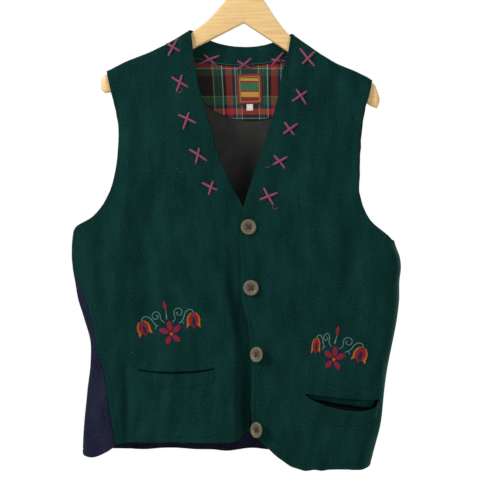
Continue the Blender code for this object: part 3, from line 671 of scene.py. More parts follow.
def boiled_wool(name, dark, middle, light, edge_shade_colour, halo):
    """Wool knitted and then felted: a soft matt grain in which the knit's ribs just show."""
    look = finish_of(
        name, Roughness=0.95, Specular_IOR_Level=0.04, Sheen_Weight=0.1, Sheen_Roughness=0.5,
        Sheen_Tint=linear(halo),
    )
    place = cloth_mm(look)
    # The felt's own hairs are 0.02 mm: drawn as clumps of 1.7 mm, and the knit's ribs 3.1 mm apart.
    clumps = add(look, "noise", {"Vector": place, "Scale": 0.6, "Detail": 3.0, "Roughness": 0.65})
    wander = add(look, "noise", {"Vector": place, "Scale": 0.09, "Detail": 2.0})
    moved = add(look, "vector", {0: wander.outputs["Color"], "Scale": 7.0}, operation="SCALE")
    bent = add(look, "vector", [place, moved], operation="ADD")
    way = add(look, "split", [bent])
    ribs = sine_of(look, way.outputs["X"], 3.1)
    rows = sine_of(look, way.outputs["Y"], 2.4)
    knit = add(look, "math", [ribs, rows], operation="ADD")
    grain = add(look, "math", [knit, 0.04, clumps], operation="MULTIPLY_ADD")
    streaked = add(look, "vector", [place, (1, 0.3, 1)], operation="MULTIPLY")
    patches = add(look, "noise", {"Vector": streaked, "Scale": 0.05, "Detail": 3.0})
    tone = add(look, "math", [patches, 0.32, grain], operation="MULTIPLY_ADD")
    colour = add(look, "ramp", [tone], [(0.47, dark), (0.655, middle), (0.86, light)])
    edge = add(look, "attribute", attribute_name="edge")
    # Painted shade: a turned edge is drawn a little darker, mixed towards the edge shade colour within
    # about 2 mm, as the edge's roll lies in its own shade.
    near = {"Value": edge.outputs["Fac"], "From Min": 0.2, "From Max": 1.8, "To Min": 0.45, "To Max": 0.0}
    wear_and_edge_shade = add(look, "map", near)
    edge_shaded = add(look, "mix", {0: wear_and_edge_shade, 6: colour, 7: linear(edge_shade_colour)}, data_type="RGBA")
    # Pale lint sticks to it, about one fleck in 8 square centimetres.
    flecks = add(look, "cells", {"Vector": place, "Scale": 0.06, "Randomness": 1.0})
    chosen = add(look, "math", [flecks, 0.032], operation="LESS_THAN")
    faint = add(look, "math", [chosen, 0.35], operation="MULTIPLY")
    linted = add(look, "mix", {0: faint, 6: edge_shaded.outputs[2], 7: linear("#8c9a94")}, data_type="RGBA")
    bump = add(look, "bump", {"Height": grain, "Strength": 0.8, "Distance": 0.0011})
    return dress(look, linted.outputs[2], bump)


def charcoal_lining(name, dark, light):
    """Twill lining: thin, smooth and dark, with a faint slanting rib and a dull gloss."""
    look = finish_of(name, Specular_IOR_Level=0.12)
    place = cloth_mm(look)
    way = add(look, "split", [place])
    slant = add(look, "math", [way.outputs["X"], way.outputs["Y"]], operation="ADD")
    # Twill ribs are 0.4 mm apart; drawn at 2.2 mm so that they show.
    twill = sine_of(look, slant, 2.2)
    cloudy = add(look, "noise", {"Vector": place, "Scale": 0.05, "Detail": 3.0})
    tone = add(look, "math", [twill, 0.06, cloudy], operation="MULTIPLY_ADD")
    colour = add(look, "ramp", [tone], [(0.1, dark), (0.9, light)])
    rough = add(look, "map", {"Value": cloudy, "To Min": 0.5, "To Max": 0.68})
    bump = add(look, "bump", {"Height": twill, "Strength": 0.3, "Distance": 0.0003})
    return dress(look, colour, bump, rough)


# The tartan by where each stripe starts, in mm, and its colour, across and then down
SETT_ACROSS = [
    (0, "#231f1c"), (26, "#b0964a"), (27.2, "#1d5540"), (31, "#10281f"), (32.5, "#1d5540"),
    (36, "#10281f"),
    (37.5, "#1d5540"), (40.3, "#a4b4a8"), (41.5, "#11131c"), (46.2, "#a02c2c"), (50.6, "#54502e"),
    (51.8, "#a02c2c"), (56.2, "#1e2745"), (60.6, "#a0aea2"), (61.8, "#1d5540"), (69.6, "#b0964a"),
]
SETT_DOWN = [
    (0, "#231f1c"), (4, "#8e2a2a"), (12, "#7e8e86"), (13.2, "#1a4232"), (22.5, "#5a2420"),
    (24, "#141416"),
    (55, "#7e7a44"), (56.3, "#1f5c40"), (69, "#1e2745"), (75, "#c03832"), (84, "#1e2745"),
    (89.5, "#94a49a"),
]
SETT_STARTS = (-77, 173.2)
SETT_LONG = (70.8, 90.7)


def stripes(look, source, starts, sett, length):
    """One set of tartan stripes along a coordinate, repeated every length mm."""
    moved = add(look, "math", [source, starts], operation="SUBTRACT")
    share = add(look, "math", [moved, length], operation="DIVIDE")
    around = add(look, "math", [share], operation="FRACT")
    ramp = add(look, "ramp", [around], [(at / length, colour) for at, colour in sett])
    ramp.color_ramp.interpolation = "CONSTANT"
    return ramp


def tartan_flannel():
    """Brushed wool tartan in a 2/2 twill: soft stripes that mix where they cross."""
    look = finish_of("brushed_tartan_flannel", Roughness=0.9, Specular_IOR_Level=0.1, Sheen_Weight=0.1)
    place = cloth_mm(look)
    fuzz = add(look, "noise", {"Vector": place, "Scale": 0.9, "Detail": 3.0})
    moved = add(look, "vector", {0: fuzz.outputs["Color"], "Scale": 1.2}, operation="SCALE")
    bent = add(look, "vector", [place, moved], operation="ADD")
    way = add(look, "split", [bent])
    warp = stripes(look, way.outputs["X"], SETT_STARTS[0], SETT_ACROSS, SETT_LONG[0])
    weft = stripes(look, way.outputs["Y"], SETT_STARTS[1], SETT_DOWN, SETT_LONG[1])
    # The twill's steps are 0.7 mm; drawn at 1.9 mm.
    slant = add(look, "math", [way.outputs["X"], way.outputs["Y"]], operation="ADD")
    twill = sine_of(look, slant, 1.9)
    over = add(look, "map", {"Value": twill, "From Min": -1.0, "To Min": 0.35, "To Max": 0.65})
    colour = add(look, "mix", {0: over, 6: warp, 7: weft}, data_type="RGBA")
    soft = add(look, "map", {"Value": fuzz, "From Min": 0.3, "From Max": 0.8, "To Max": 0.22})
    faded = add(look, "mix", {0: soft, 6: colour.outputs[2], 7: linear("#3c3a36")}, data_type="RGBA")
    bump = add(look, "bump", {"Height": fuzz, "Strength": 0.6, "Distance": 0.0006})
    return dress(look, faded.outputs[2], bump)


def woven_tape(name, ground, border, bands=()):
    """Woven label tape: fine shiny weft ribs, a thin border woven in, and plain bands of colour."""
    look = finish_of(name, Roughness=0.55, Specular_IOR_Level=0.3, Sheen_Weight=0.1)
    place = cloth_mm(look)
    way = add(look, "split", [place])
    # Its weft ribs are 0.25 mm apart; drawn at 1.6 mm.
    ribs = sine_of(look, way.outputs["Y"], 1.6)
    edge = add(look, "attribute", attribute_name="edge")
    inside = add(look, "math", [edge.outputs["Fac"], 4.2], operation="SUBTRACT")
    off = add(look, "math", [inside], operation="ABSOLUTE")
    line = add(look, "math", [off, 0.6], operation="LESS_THAN")
    tone = add(look, "noise", {"Vector": place, "Scale": 0.5, "Detail": 2.0})
    shade = add(look, "math", [ribs, 0.1, tone], operation="MULTIPLY_ADD")
    colour = add(look, "ramp", [shade], [(0.3, ground[0]), (0.7, ground[1])])
    lined = add(look, "mix", {0: line, 6: colour, 7: linear(border)}, data_type="RGBA")
    pattern = lined.outputs[2]
    within = add(look, "math", [edge.outputs["Fac"], 5.4], operation="GREATER_THAN")
    for tint, first, last in bands:
        off = add(look, "math", [way.outputs["Y"], (first + last) / 2], operation="SUBTRACT")
        near = add(look, "math", [off, 0.0, (last - first) / 2], operation="COMPARE")
        both = add(look, "math", [near, within], operation="MULTIPLY")
        filled = add(look, "mix", {0: both, 6: pattern, 7: linear(tint)}, data_type="RGBA")
        pattern = filled.outputs[2]
    bump = add(look, "bump", {"Height": shade, "Strength": 0.5, "Distance": 0.0003})
    return dress(look, pattern, bump)


def wool_yarn(name, dark, light):
    """Wool yarn or sewing thread: matt and slightly hairy, in two shades that run into each other."""
    look = finish_of(
        name, Roughness=0.85, Specular_IOR_Level=0.08, Sheen_Weight=0.04, Sheen_Roughness=0.5,
    )
    hairs = add(look, "noise", {"Vector": cloth_mm(look), "Scale": 1.3, "Detail": 3.0, "Roughness": 0.7})
    colour = add(look, "ramp", [hairs], [(0.34, dark), (0.66, light)])
    bump = add(look, "bump", {"Height": hairs, "Strength": 0.5, "Distance": 0.0004})
    return dress(look, colour, bump)


def horn_look():
    """Polyester cast like horn and turned: a taupe rim, and a browner flecked dish round the holes."""
    look = finish_of("horn_cast_buttons", IOR=1.5, Coat_Weight=0.06, Coat_Roughness=0.3)
    place = solid_mm(look)
    flat = add(look, "vector", [place, (1, 1, 0)], operation="MULTIPLY")
    away = add(look, "vector", [flat], operation="LENGTH").outputs["Value"]
    clouds = add(look, "noise", {"Vector": place, "Scale": 0.32, "Detail": 4.0, "Distortion": 1.2})
    flecks = add(look, "noise", {"Vector": place, "Scale": 1.1, "Detail": 2.0})
    reach = add(look, "math", [clouds, 1.6, away], operation="MULTIPLY_ADD")
    share = add(look, "math", [reach, 14.0], operation="DIVIDE")
    ring = add(look, "ramp", [share], [
        (0.3, "#3a3224"), (0.52, "#463e2d"), (0.6, "#534c3a"), (0.84, "#5c5644"), (0.92, "#3c3729"),
    ])
    gold = add(look, "map", {"Value": flecks, "From Min": 0.55, "From Max": 0.75, "To Max": 0.7})
    colour = add(look, "mix", {0: gold, 6: ring, 7: linear("#947e54")}, data_type="RGBA")
    rough = add(look, "map", {"Value": clouds, "To Min": 0.48, "To Max": 0.66})
    return dress(look, colour.outputs[2], None, rough)


def varnished_beech():
    """Beech, sawn flat and varnished: straight fine grain with short darker rays, under a clear coat."""
    look = finish_of("varnished_beech", IOR=1.5, Coat_Weight=0.35, Coat_Roughness=0.25)
    place = solid_mm(look)
    long_way = add(look, "vector", [place, (0.035, 0.7, 0.7)], operation="MULTIPLY")
    grain = add(look, "noise", {"Vector": long_way, "Scale": 0.55, "Detail": 4.0, "Distortion": 0.4})
    rays = add(look, "noise", {"Vector": long_way, "Scale": 2.4, "Detail": 2.0})
    mixed = add(look, "math", [rays, 0.35, grain], operation="MULTIPLY_ADD")
    colour = add(look, "ramp", [mixed], [(0.45, "#d3aa6c"), (0.68, "#e2bd80"), (0.9, "#e8c68c")])
    rough = add(look, "map", {"Value": grain, "To Min": 0.38, "To Max": 0.52})
    bump = add(look, "bump", {"Height": rays, "Strength": 0.25, "Distance": 0.0002})
    return dress(look, colour, bump, rough)


def nickelled_steel():
    """Steel wire, nickel-plated: bright, with small duller spots."""
    look = finish_of("nickelled_steel_wire", Metallic=1.0)
    spots = add(look, "noise", {"Vector": solid_mm(look), "Scale": 0.6, "Detail": 3.0})
    colour = add(look, "ramp", [spots], [(0.3, "#9c9a96"), (0.7, "#b9b7b2")])
    rough = add(look, "map", {"Value": spots, "To Min": 0.2, "To Max": 0.42})
    return dress(look, colour, None, rough)


def piece(name, verts, faces, look, slot=None, replaces=None, flat=None, marks=None):
    """Makes one piece of the object from points in mm, with its place on the flat cloth as a UV map."""
    data = bpy.data.meshes.new(name)
    data.from_pydata((np.asarray(verts) * MM).tolist(), [], faces)
    mesh = bmesh.new()
    mesh.from_mesh(data)
    bmesh.ops.recalc_face_normals(mesh, faces=mesh.faces[:])
    mesh.to_mesh(data)
    mesh.free()
    data.materials.append(look)
    data.shade_smooth()
    if flat is not None:
        corners = np.zeros(len(data.loops), np.int32)
        data.loops.foreach_get("vertex_index", corners)
        layer = data.uv_layers.new(name="cloth")
        layer.data.foreach_set("uv", (np.asarray(flat)[corners] * MM).astype(np.float32).ravel())
    if marks is not None:
        edge = data.attributes.new("edge", "FLOAT", "POINT")
        edge.data.foreach_set("value", np.asarray(marks, np.float32))
    made = bpy.data.objects.new(f"{name}_cloth" if name == replaces else name, data)
    vest.objects.link(made)
    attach(made, "root")
    if replaces:
        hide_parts(replaces)
    return made


def shell(name, outer, inner, flat, look, edge, skip=None, **more):
    """A closed sheet: two grids of points that meet at every border. Quads in skip are left open."""
    rows, columns = outer.shape[:2]
    quads = np.ones((rows - 1, columns - 1), bool)
    if skip is not None:
        quads &= ~skip
    around = np.zeros((rows + 1, columns + 1), int)
    around[1:-1, 1:-1] = quads
    beside = around[:-1, :-1] + around[1:, :-1] + around[:-1, 1:] + around[1:, 1:]
    inside = (beside == 4).ravel()
    count = rows * columns
    low = np.arange(count)
    low[inside] = count + np.arange(inside.sum())
    top = np.arange(count).reshape(rows, columns)
    low = low.reshape(rows, columns)
    faces = []
    for grid, turn in ((top, 1), (low, -1)):
        corners = np.stack([grid[:-1, :-1], grid[:-1, 1:], grid[1:, 1:], grid[1:, :-1]], axis=-1)[quads]
        faces += corners[:, ::turn].tolist()
    outer, inner = outer.reshape(-1, 3), inner.reshape(-1, 3)
    verts = np.where(inside[:, None], outer, (outer + inner) / 2)
    verts = np.concatenate([verts, inner[inside]])
    flat, edge = flat.reshape(-1, 2), edge.ravel()
    used = np.zeros(len(verts), bool)
    used[np.unique(faces)] = True
    new = np.cumsum(used) - 1
    faces = new[np.array(faces)].tolist()
    flat = np.concatenate([flat, flat[inside]])[used]
    edge = np.concatenate([edge, edge[inside]])[used]
    return piece(name, verts[used], faces, look, flat=flat, marks=edge, **more)


def fine_grid(panel, columns, rows):
    """Rows and shares of a panel's fine grid, crowded at its edges and its pocket slit.

    Also gives each point's distance from the nearest edge with and without the slit, and the slit's quads.
    """
    lines = np.array(EDGE_LINES)
    guess = np.linspace(0, 1, 60)
    top_high, hem_high = panel.row_high(0, guess), panel.row_high(HEM - 0.25, guess)
    low, high = panel.slit or (0, 1)
    if panel.pocket:
        foot = panel.pocket["row"]
        mouth = foot - SLIT_SHARE

    def width_at(row):
        (a0, _), (a1, _) = panel.edges(np.array(row, float))
        return abs(a1 - a0)

    def across(row):
        """Shares across one row: edge lines, then evenly to and past the slit, then edge lines."""
        width = float(width_at(row))
        start, end = lines / width, 1 - lines[::-1] / width
        stops = [start[-1], low, high, end[0]] if panel.pocket else [start[-1], end[0]]
        middle = [np.linspace(a, b, n + 1)[1:] for a, b, n in zip(stops, stops[1:], columns)]
        return np.concatenate([start, *middle, end[1:]])

    grid_rows = []
    for share in across(HEM / 2):
        top = lines / np.interp(share, guess, top_high)
        hem = HEM - lines[::-1] / np.interp(share, guess, hem_high)
        if panel.pocket:
            close = np.array(SLIT_LINES) / SLIT_ROW
            above = np.linspace(top[-1], mouth - close[-1], rows[0] + 1)[1:-1]
            below = np.linspace(foot + close[-1], hem[0], rows[1] + 1)[1:-1]
            grid_rows.append(np.concatenate([top, above, mouth - close[::-1], foot + close, below, hem]))
        else:
            grid_rows.append(np.concatenate([top, np.linspace(top[-1], hem[0], rows[0] + 1)[1:-1], hem]))
    row = np.array(grid_rows).T
    share = np.array([across(line.mean()) for line in row])
    width = width_at(row)
    border = np.minimum.reduce([
        share * width, (1 - share) * width,
        row * np.interp(share, guess, top_high), (HEM - row) * np.interp(share, guess, hem_high),
    ])
    if not panel.pocket:
        return row, share, np.maximum(border, 0), np.maximum(border, 0), None
    middle_row = (row[:-1] + row[1:]) / 2
    middle_share = (share[:-1] + share[1:]) / 2
    middle_share = (middle_share[:, :-1] + middle_share[:, 1:]) / 2
    in_rows = (middle_row[:, :-1] > mouth) & (middle_row[:, :-1] < foot)
    skip = in_rows & (middle_share > low) & (middle_share < high)
    beside = np.maximum(np.maximum(low - share, share - high), 0) * width
    to_slit = np.hypot(np.minimum(np.abs(row - foot), np.abs(row - mouth)) * SLIT_ROW, beside)
    outside = (row < mouth - TINY) | (row > foot + TINY) | (beside > 0)
    away = np.minimum(border, np.where(outside, to_slit, 0))
    return row, share, np.maximum(away, 0), np.maximum(border, 0), skip


def rounded(thick, away):
    """Half of a sheet's thickness, this far from its rounded edge."""
    return thick / 2 * np.sqrt(1 - (1 - np.clip(away / EDGE_ROUND, 0, 1)) ** 2)


def panel_piece(name, panel, columns, rows, look, slot):
    """One cut piece of wool with turned edges and the line of stitching beside them."""
    row, share, away, border, skip = fine_grid(panel, columns, rows)
    # The edges wander a little, as hand-turned wool does, but not where they are sewn to another piece.
    spots = np.stack([row * ROW, share * PANEL_WIDE, 0 * row], axis=-1)
    wander = EDGE_WANDER * np.exp(-((border / 6) ** 2))
    unsewn = np.where((panel.face < 0) & (share > 0.5), 1, np.clip(UNDERARM - row, 0, 1))
    row = row + wander / ROW * (lumps(spots, 12, 7) - 1) / 2 * (row > HEM / 2)
    share = share + wander / PANEL_WIDE * (lumps(spots, 12, 8) - 1) / 2 * np.sign(share - 0.5) * unsewn
    along, fall = panel.place(row, share)
    half = rounded(WOOL, away)
    stitched = STITCH_DEEP * np.exp(-(((away - STITCHED) / STITCH_WIDE) ** 2)) * (row > UNDERARM)
    flat = np.stack([along, fall], axis=-1)
    puckers = lumps(np.stack([along, fall, 0 * along], axis=-1), 9, 5)
    ripple = PUCKER * np.exp(-((away / 5) ** 2)) * puckers * ease(away)
    outer = panel.points(row, share, -WOOL / 2 + half - stitched + ripple)
    inner = panel.points(row, share, -WOOL / 2 - half)
    return shell(name, outer, inner, flat, look, border, skip, slot=slot, replaces=name)


def inside_grid(x, down, depth):
    """Points that lie inside the back, depth below its outer face, at places as seen."""
    return off_face(*as_seen(x, down, 1), 1, -depth)[0]


def edge_distance(x, down):
    """How far each point of a grid lies from the grid's border, measured along its rows and columns."""
    across = np.hypot(np.diff(x, axis=1), np.diff(down, axis=1))
    below = np.hypot(np.diff(x, axis=0), np.diff(down, axis=0))
    along = np.concatenate([np.zeros((len(x), 1)), np.cumsum(across, axis=1)], axis=1)
    deep = np.concatenate([np.zeros((1, x.shape[1])), np.cumsum(below, axis=0)])
    return np.minimum.reduce([along, along[:, -1:] - along, deep, deep[-1:] - deep])


def inside_piece(name, x, down, depth, thick, look, slot, flat=None):
    """A sheet inside the back of the neck. flat is where its points lie on the cloth's pattern."""
    away = edge_distance(x, down)
    half = rounded(thick, away * EDGE_ROUND / (thick / 2 + 0.3))
    middle = depth + thick / 2
    if flat is None:
        flat = np.stack([x, down], axis=-1)
    outer, inner = inside_grid(x, down, middle - half), inside_grid(x, down, middle + half)
    return shell(name, outer, inner, flat, look, away, slot=slot, replaces=name)


def crowded(start, end, count, edge):
    """Places from start to end with an extra one close to each end."""
    way = math.copysign(1, end - start)
    return np.concatenate([[start], np.linspace(start + way * edge, end - way * edge, count), [end]])


def make_lining():
    """The lining, from under the yoke to a few centimetres above the hem."""
    rows = crowded(1, HEM - 1, 60, 0.03)
    shares = crowded(0.012, 0.988, 90, 0.002)
    row, share = np.meshgrid(rows, shares, indexing="ij")
    along, fall = back.place(row, share)
    away = edge_distance(along, fall)
    half = rounded(LINING, away * 2)
    middle = -WOOL - SEAM - LINING / 2
    outer, inner = back.points(row, share, middle + half), back.points(row, share, middle - half)
    return shell(
        "lining", outer, inner, np.stack([along, fall], -1), LINING_LOOK, away,
        slot="lining_charcoal", replaces="lining",
    )


def make_neck():
    """The tartan half-moon, the wool facing over its upper edge, the label and the size tag."""
    across = YOKE["round"] * np.sin(crowded(-math.pi / 2, math.pi / 2, 70, 0.02))
    x = (YOKE["x"] + YOKE["half"] * across)[None, :]
    low = YOKE["down"] + YOKE["high"] * np.sqrt(1 - across**2)
    top = np.maximum(facing_top(x[0]) + 0.7 * FACING_HIGH, crest(x[0]) + CREST + 1)
    sink = crowded(0, 1, 40, 0.01)[:, None]
    down = blend(sink, np.minimum(top, low - 1)[None, :], low[None, :])
    x = x + 0 * sink
    # The stripes lean a little to the left at the top, more so on the left.
    lean = (down - YOKE_LEAN["down"]) * (YOKE_LEAN["middle"] - YOKE_LEAN["by_x"] * x)
    pattern = np.stack([x - lean, down], axis=-1)
    yoke = inside_piece("yoke", x, down, YOKE_DEEP, FLANNEL, tartan_flannel(), "tartan_flannel", pattern)

    x = crowded(*FACING_X, 60, 0.6)[None, :]
    sink = crowded(0, 1, 22, 0.02)[:, None]
    down = blend(sink, facing_top(x), facing_low(x))
    depth = blend(ease(sink * 2.5), WOOL + LOOSE, YOKE_DEEP + FLANNEL + SEAM) + 0 * x
    facing = inside_piece("neck_facing", x + 0 * sink, down, depth, FACING, GREEN, "boiled_wool_green")

    on_yoke = YOKE_DEEP + FLANNEL + LOOSE
    red_label = woven_tape("damask_label_red", ("#66181a", "#7c2426"), "#8e7434", LABEL_BANDS)
    white_tape = woven_tape("cotton_tape_white", ("#cbc8be", "#e0ddd4"), "#e0ddd4")
    tapes = []
    for name, spot, look, slot in (
        ("label", LABEL, red_label, "woven_label"),
        ("size_tag", SIZE_TAG, white_tape, "woven_size_tag"),
    ):
        grid = np.meshgrid(*(crowded(*spot[way], 20, 0.3) for way in ("x", "down")))
        grid = np.stack(grid, axis=-1)
        middle = np.array([np.mean(spot["x"]), np.mean(spot["down"])])
        grid = turned(grid - middle, spot["turn"], *middle)
        tapes.append(inside_piece(name, grid[..., 0], grid[..., 1], on_yoke, TAPE, look, slot))
    return yoke, facing, tapes


def welt_deep(panel, t):
    """How many rows a welt is deep, this share of the way along it."""
    ends, middle = panel.pocket["welt"]
    return ends + (middle - ends) * (1 - (2 * t - 1) ** 2) ** 0.6


def make_welt(name, panel, look):
    """A welt: a band of the same wool, sewn in almost flush below the pocket's mouth."""
    low, high = panel.slit
    t = crowded(0, 1, 44, 0.006)
    share = blend(t, low, high)
    deep = welt_deep(panel, t)
    corner = 0.1 * (np.exp(-t / 0.03) + np.exp(-(1 - t) / 0.03))
    v = np.concatenate([[0, 0.015, 0.05, 0.1], np.linspace(0.18, 0.84, 9), [0.92, 0.96, 0.985, 1]])
    v = v[:, None]
    row = panel.pocket["row"] + v * (deep - corner)[None, :] + corner[None, :] * 0.3 * (v < 0.01)
    share = share[None, :] + 0 * row
    along, fall = panel.place(row, share)
    away = edge_distance(along, fall)
    round_edge = np.sqrt(1 - (1 - np.clip(away / 2.2, 0, 1)) ** 2)
    outer = panel.points(row, share, -WELT_SUNK + (WELT_PROUD + WELT_SUNK) * round_edge)
    inner = panel.points(row, share, -WELT_SUNK - WELT_SUNK * round_edge)
    return shell(
        name, outer, inner, np.stack([along, fall], -1), look, away + EDGE_ROUND,
        slot="boiled_wool_green", replaces=name,
    )


def make_bag(name, panel, look):
    """A bag: down behind the slit, round at its foot, up to the slit's lower edge, flat at its sides."""
    low, high = panel.slit
    across = np.linspace(0, 1, 34)
    shares = blend(across, low - BAG_WIDER, high + BAG_WIDER)
    full = 1 - np.abs(2 * across - 1) ** 6
    row = panel.pocket["row"]
    top = panel.place(row - SLIT_SHARE, shares)[1] - BAG_ABOVE
    mouth = panel.place(row + 0.02, shares)[1] + BAG_BELOW
    foot = top + BAG_DEEP
    along = panel.place(row, shares)[0]
    start = WOOL + SEAM + LINING
    route = np.array([  # which edge the fall is from, share of the way to the foot, depth behind the face
        (0, 0.0, start + 1), (0, 0.08, start + 2.5), (0, 0.25, start + BAG_GAP),
        (0, 0.6, start + BAG_GAP),
        (0, 0.9, start + BAG_GAP - 1), (0, 1.0, start + BAG_GAP / 2), (1, 0.92, start + 0.5),
        (1, 0.5, start + 0.5), (1, 0.0, start),
    ])
    middle = []
    for edge, share, depth in route:
        fall = blend(share, mouth if edge else top, foot)
        lift = panel.lift(along, fall, np.full_like(fall, row))
        thin = depth if edge else min(depth, start + 1.8)
        middle.append(off_face(along, fall, -1, lift - blend(full, thin, depth))[0])
    at = np.linspace(0, len(route) - 1, 41)
    middle = np.reshape(middle, (len(route), -1))
    middle = spline(np.arange(len(route)), middle, at).reshape(len(at), -1, 3)
    sideways, below = np.gradient(middle, axis=1), np.gradient(middle, axis=0)
    way = unit(np.cross(sideways, below))
    steps = np.linalg.norm(below, axis=-1).cumsum(axis=0)
    flat = np.stack([along[None, :] + 0 * steps, steps], axis=-1)
    away = edge_distance(flat[..., 0], flat[..., 1])
    half = rounded(LINING, away)[..., None]
    return shell(
        name, middle + way * half, middle - way * half, flat, look, away,
        slot="lining_charcoal", replaces=name,
    )


def button_shape(look):
    """A four-hole button: a dished disc turned round Z, with its holes cut through."""
    mesh = bmesh.new()
    verts = [mesh.verts.new((r * MM, 0, z * MM)) for r, z in BUTTON_SECTION]
    for a, b in zip(verts, verts[1:]):
        mesh.edges.new((a, b))
    bmesh.ops.spin(
        mesh, geom=mesh.verts[:] + mesh.edges[:], cent=(0, 0, 0), axis=(0, 0, 1),
        angle=math.tau, steps=64, use_merge=True,
    )
    bmesh.ops.remove_doubles(mesh, verts=mesh.verts[:], dist=1e-6)
    bmesh.ops.recalc_face_normals(mesh, faces=mesh.faces[:])
    blank_data = bpy.data.meshes.new("button_blank")
    mesh.to_mesh(blank_data)
    mesh.free()
    blank_data.materials.append(look)
    drill = bmesh.new()
    for x, y in itertools.product((-1, 1), repeat=2):
        at = Matrix.Translation(Vector((x * BUTTON_HOLES_AT, y * BUTTON_HOLES_AT, BUTTON_THICK / 2)) * MM)
        bmesh.ops.create_cone(
            drill, cap_ends=True, segments=20, radius1=BUTTON_HOLE_R * MM, radius2=BUTTON_HOLE_R * MM,
            depth=3 * BUTTON_THICK * MM, matrix=at,
        )
    drill_data = bpy.data.meshes.new("button_drills")
    drill.to_mesh(drill_data)
    drill.free()
    blank, drills = (bpy.data.objects.new(data.name, data) for data in (blank_data, drill_data))
    for helper in (blank, drills):
        bpy.context.scene.collection.objects.link(helper)
    cut = blank.modifiers.new("holes", "BOOLEAN")
    cut.operation, cut.object = "DIFFERENCE", drills
    bpy.context.view_layer.update()
    drilled = bpy.data.meshes.new_from_object(blank.evaluated_get(bpy.context.evaluated_depsgraph_get()))
    for helper in (blank, drills):
        bpy.data.objects.remove(helper)
    drilled.shade_smooth()
    drilled.set_sharp_from_angle(angle=SHARP)
    return drilled


def button_frames():
    """Where each button lies on the right front, and how it is turned."""
    for x, down, swung, leant, proud in BUTTONS:
        spot, way = on_front(x, down, proud)
        flat = Vector(way).to_track_quat("Z", "Y").to_matrix()
        swing, lean = (Matrix.Rotation(math.radians(angle), 3, "Z") for angle in (-swung, leant))
        yield Matrix.Translation(Vector(spot) * MM) @ (swing @ flat @ lean).to_4x4()


def make_buttons():
    shape = button_shape(horn_look())
    for i, place in enumerate(button_frames(), 1):
        button = bpy.data.objects.new(f"button_{i}_turned", shape)
        button.matrix_world = place
        vest.objects.link(button)
        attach(button, "root")
        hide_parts(f"button_{i}")


def join_rings(number):
    """Faces along a tube whose points have these numbers, a row to each ring, and its two ends."""
    ahead = np.roll(number, -1, axis=1)
    faces = np.stack([number[:-1], ahead[:-1], ahead[1:], number[1:]], axis=-1).reshape(-1, 4).tolist()
    return [*faces, number[0].tolist(), number[-1].tolist()]


def make_hanger(look):
    """The hanger as slices across its arms, flat in front and behind with narrow rounded edges."""
    slices = np.array(HANGER, float)
    at, top, low = slices.T
    x = np.concatenate([*(np.linspace(a, b, 6)[:-1] for a, b in zip(at, at[1:])), at[-1:]])
    # Its lower edge is straight to a sharp notch under the hump, the upper edge is all curves.
    edges = np.stack([spline(at, top, x), np.interp(x, at, low)], axis=-1)
    corner = np.radians(np.linspace(0, 90, 5))
    rings = []
    for at, (top, low) in zip(x, edges):
        end = min(at - x[0], x[-1] - at)
        thick = HANGER_THICK / 2 * math.sqrt(min(1, 0.3 + end / 9))
        half = (low - top) / 2
        r = min(HANGER_ROUND, 0.9 * half, 0.9 * thick)
        ring = []
        for quarter, (sy, sz) in enumerate(((1, 1), (1, -1), (-1, -1), (-1, 1))):
            turn = corner if quarter % 2 == 0 else corner[::-1]
            for angle in turn:
                y = sy * (thick - r + r * math.sin(angle))
                z = sz * (half - r + r * math.cos(angle))
                ring.append((at, y, z - (top + low) / 2))
        rings.append(ring)
    rings = np.array(rings)
    faces = join_rings(np.arange(rings[..., 0].size).reshape(rings.shape[:2]))
    made = piece("hanger_arms", rings.reshape(-1, 3), faces, look, "beech_hanger", "hanger")
    made.data.set_sharp_from_angle(angle=SHARP)
    return made


class Tubes:
    """Round or flattened tubes, gathered into one mesh."""

    def __init__(self):
        self.verts, self.flat, self.faces, self.count = [], [], [], 0

    def add(self, path, radius, out, sides=6, squash=1.0):
        """A tube along path, whose squashed side faces out."""
        path = np.asarray(path, float)
        radius = np.broadcast_to(np.asarray(radius, float), len(path)).copy()
        ahead = unit(np.gradient(path, axis=0))
        side = unit(np.cross(ahead, out))
        up = np.cross(side, ahead)
        angle = np.linspace(0, math.tau, sides, endpoint=False)
        ring = np.cos(angle)[:, None] * side[:, None] + squash * np.sin(angle)[:, None] * up[:, None]
        verts = (path[:, None] + ring * radius[:, None, None]).reshape(-1, 3)
        around = radius[:, None] * angle
        self.faces += join_rings(self.count + np.arange(len(verts)).reshape(len(path), sides))
        self.verts.append(verts)
        self.flat.append(np.stack([around, run_of(path)[:, None] + 0 * around], axis=-1).reshape(-1, 2))
        self.count += len(verts)

    def piece(self, name, look, slot=None, replaces=None):
        verts, flat = np.concatenate(self.verts), np.concatenate(self.flat)
        return piece(name, verts, self.faces, look, slot, replaces, flat)


def on_front(x, down, proud):
    """Points at places as seen on the fronts, proud of the wool, and the way out of it."""
    return off_face(*as_seen(x, down, -1), -1, proud)


def in_neck(x, down, proud):
    """The same inside the back of the neck, on the facing and the yoke below it."""
    on_facing = ease((facing_low(x) - down) / 2 + 0.5)
    deep = YOKE_DEEP + FLANNEL + (SEAM + FACING) * on_facing + proud
    points, way = off_face(*as_seen(x, down, 1), 1, -deep)
    return points, -way


def running_stitch(path, long, gap, radius, out, dip=0.0):
    """A row of stitches along a path, their ends sunk into the cloth by dip."""
    run = run_of(path)
    stitches = Tubes()
    for start in np.arange(0, run[-1] - long, long + gap):
        at = np.linspace(start, start + long, 6)
        middle = np.stack([np.interp(at, run, path[:, axis]) for axis in range(3)], axis=-1)
        middle[:, 1] += np.array([1.0, 0.1, 0, 0, 0.1, 1.0]) * dip
        stitches.add(middle, radius, out)
    return stitches


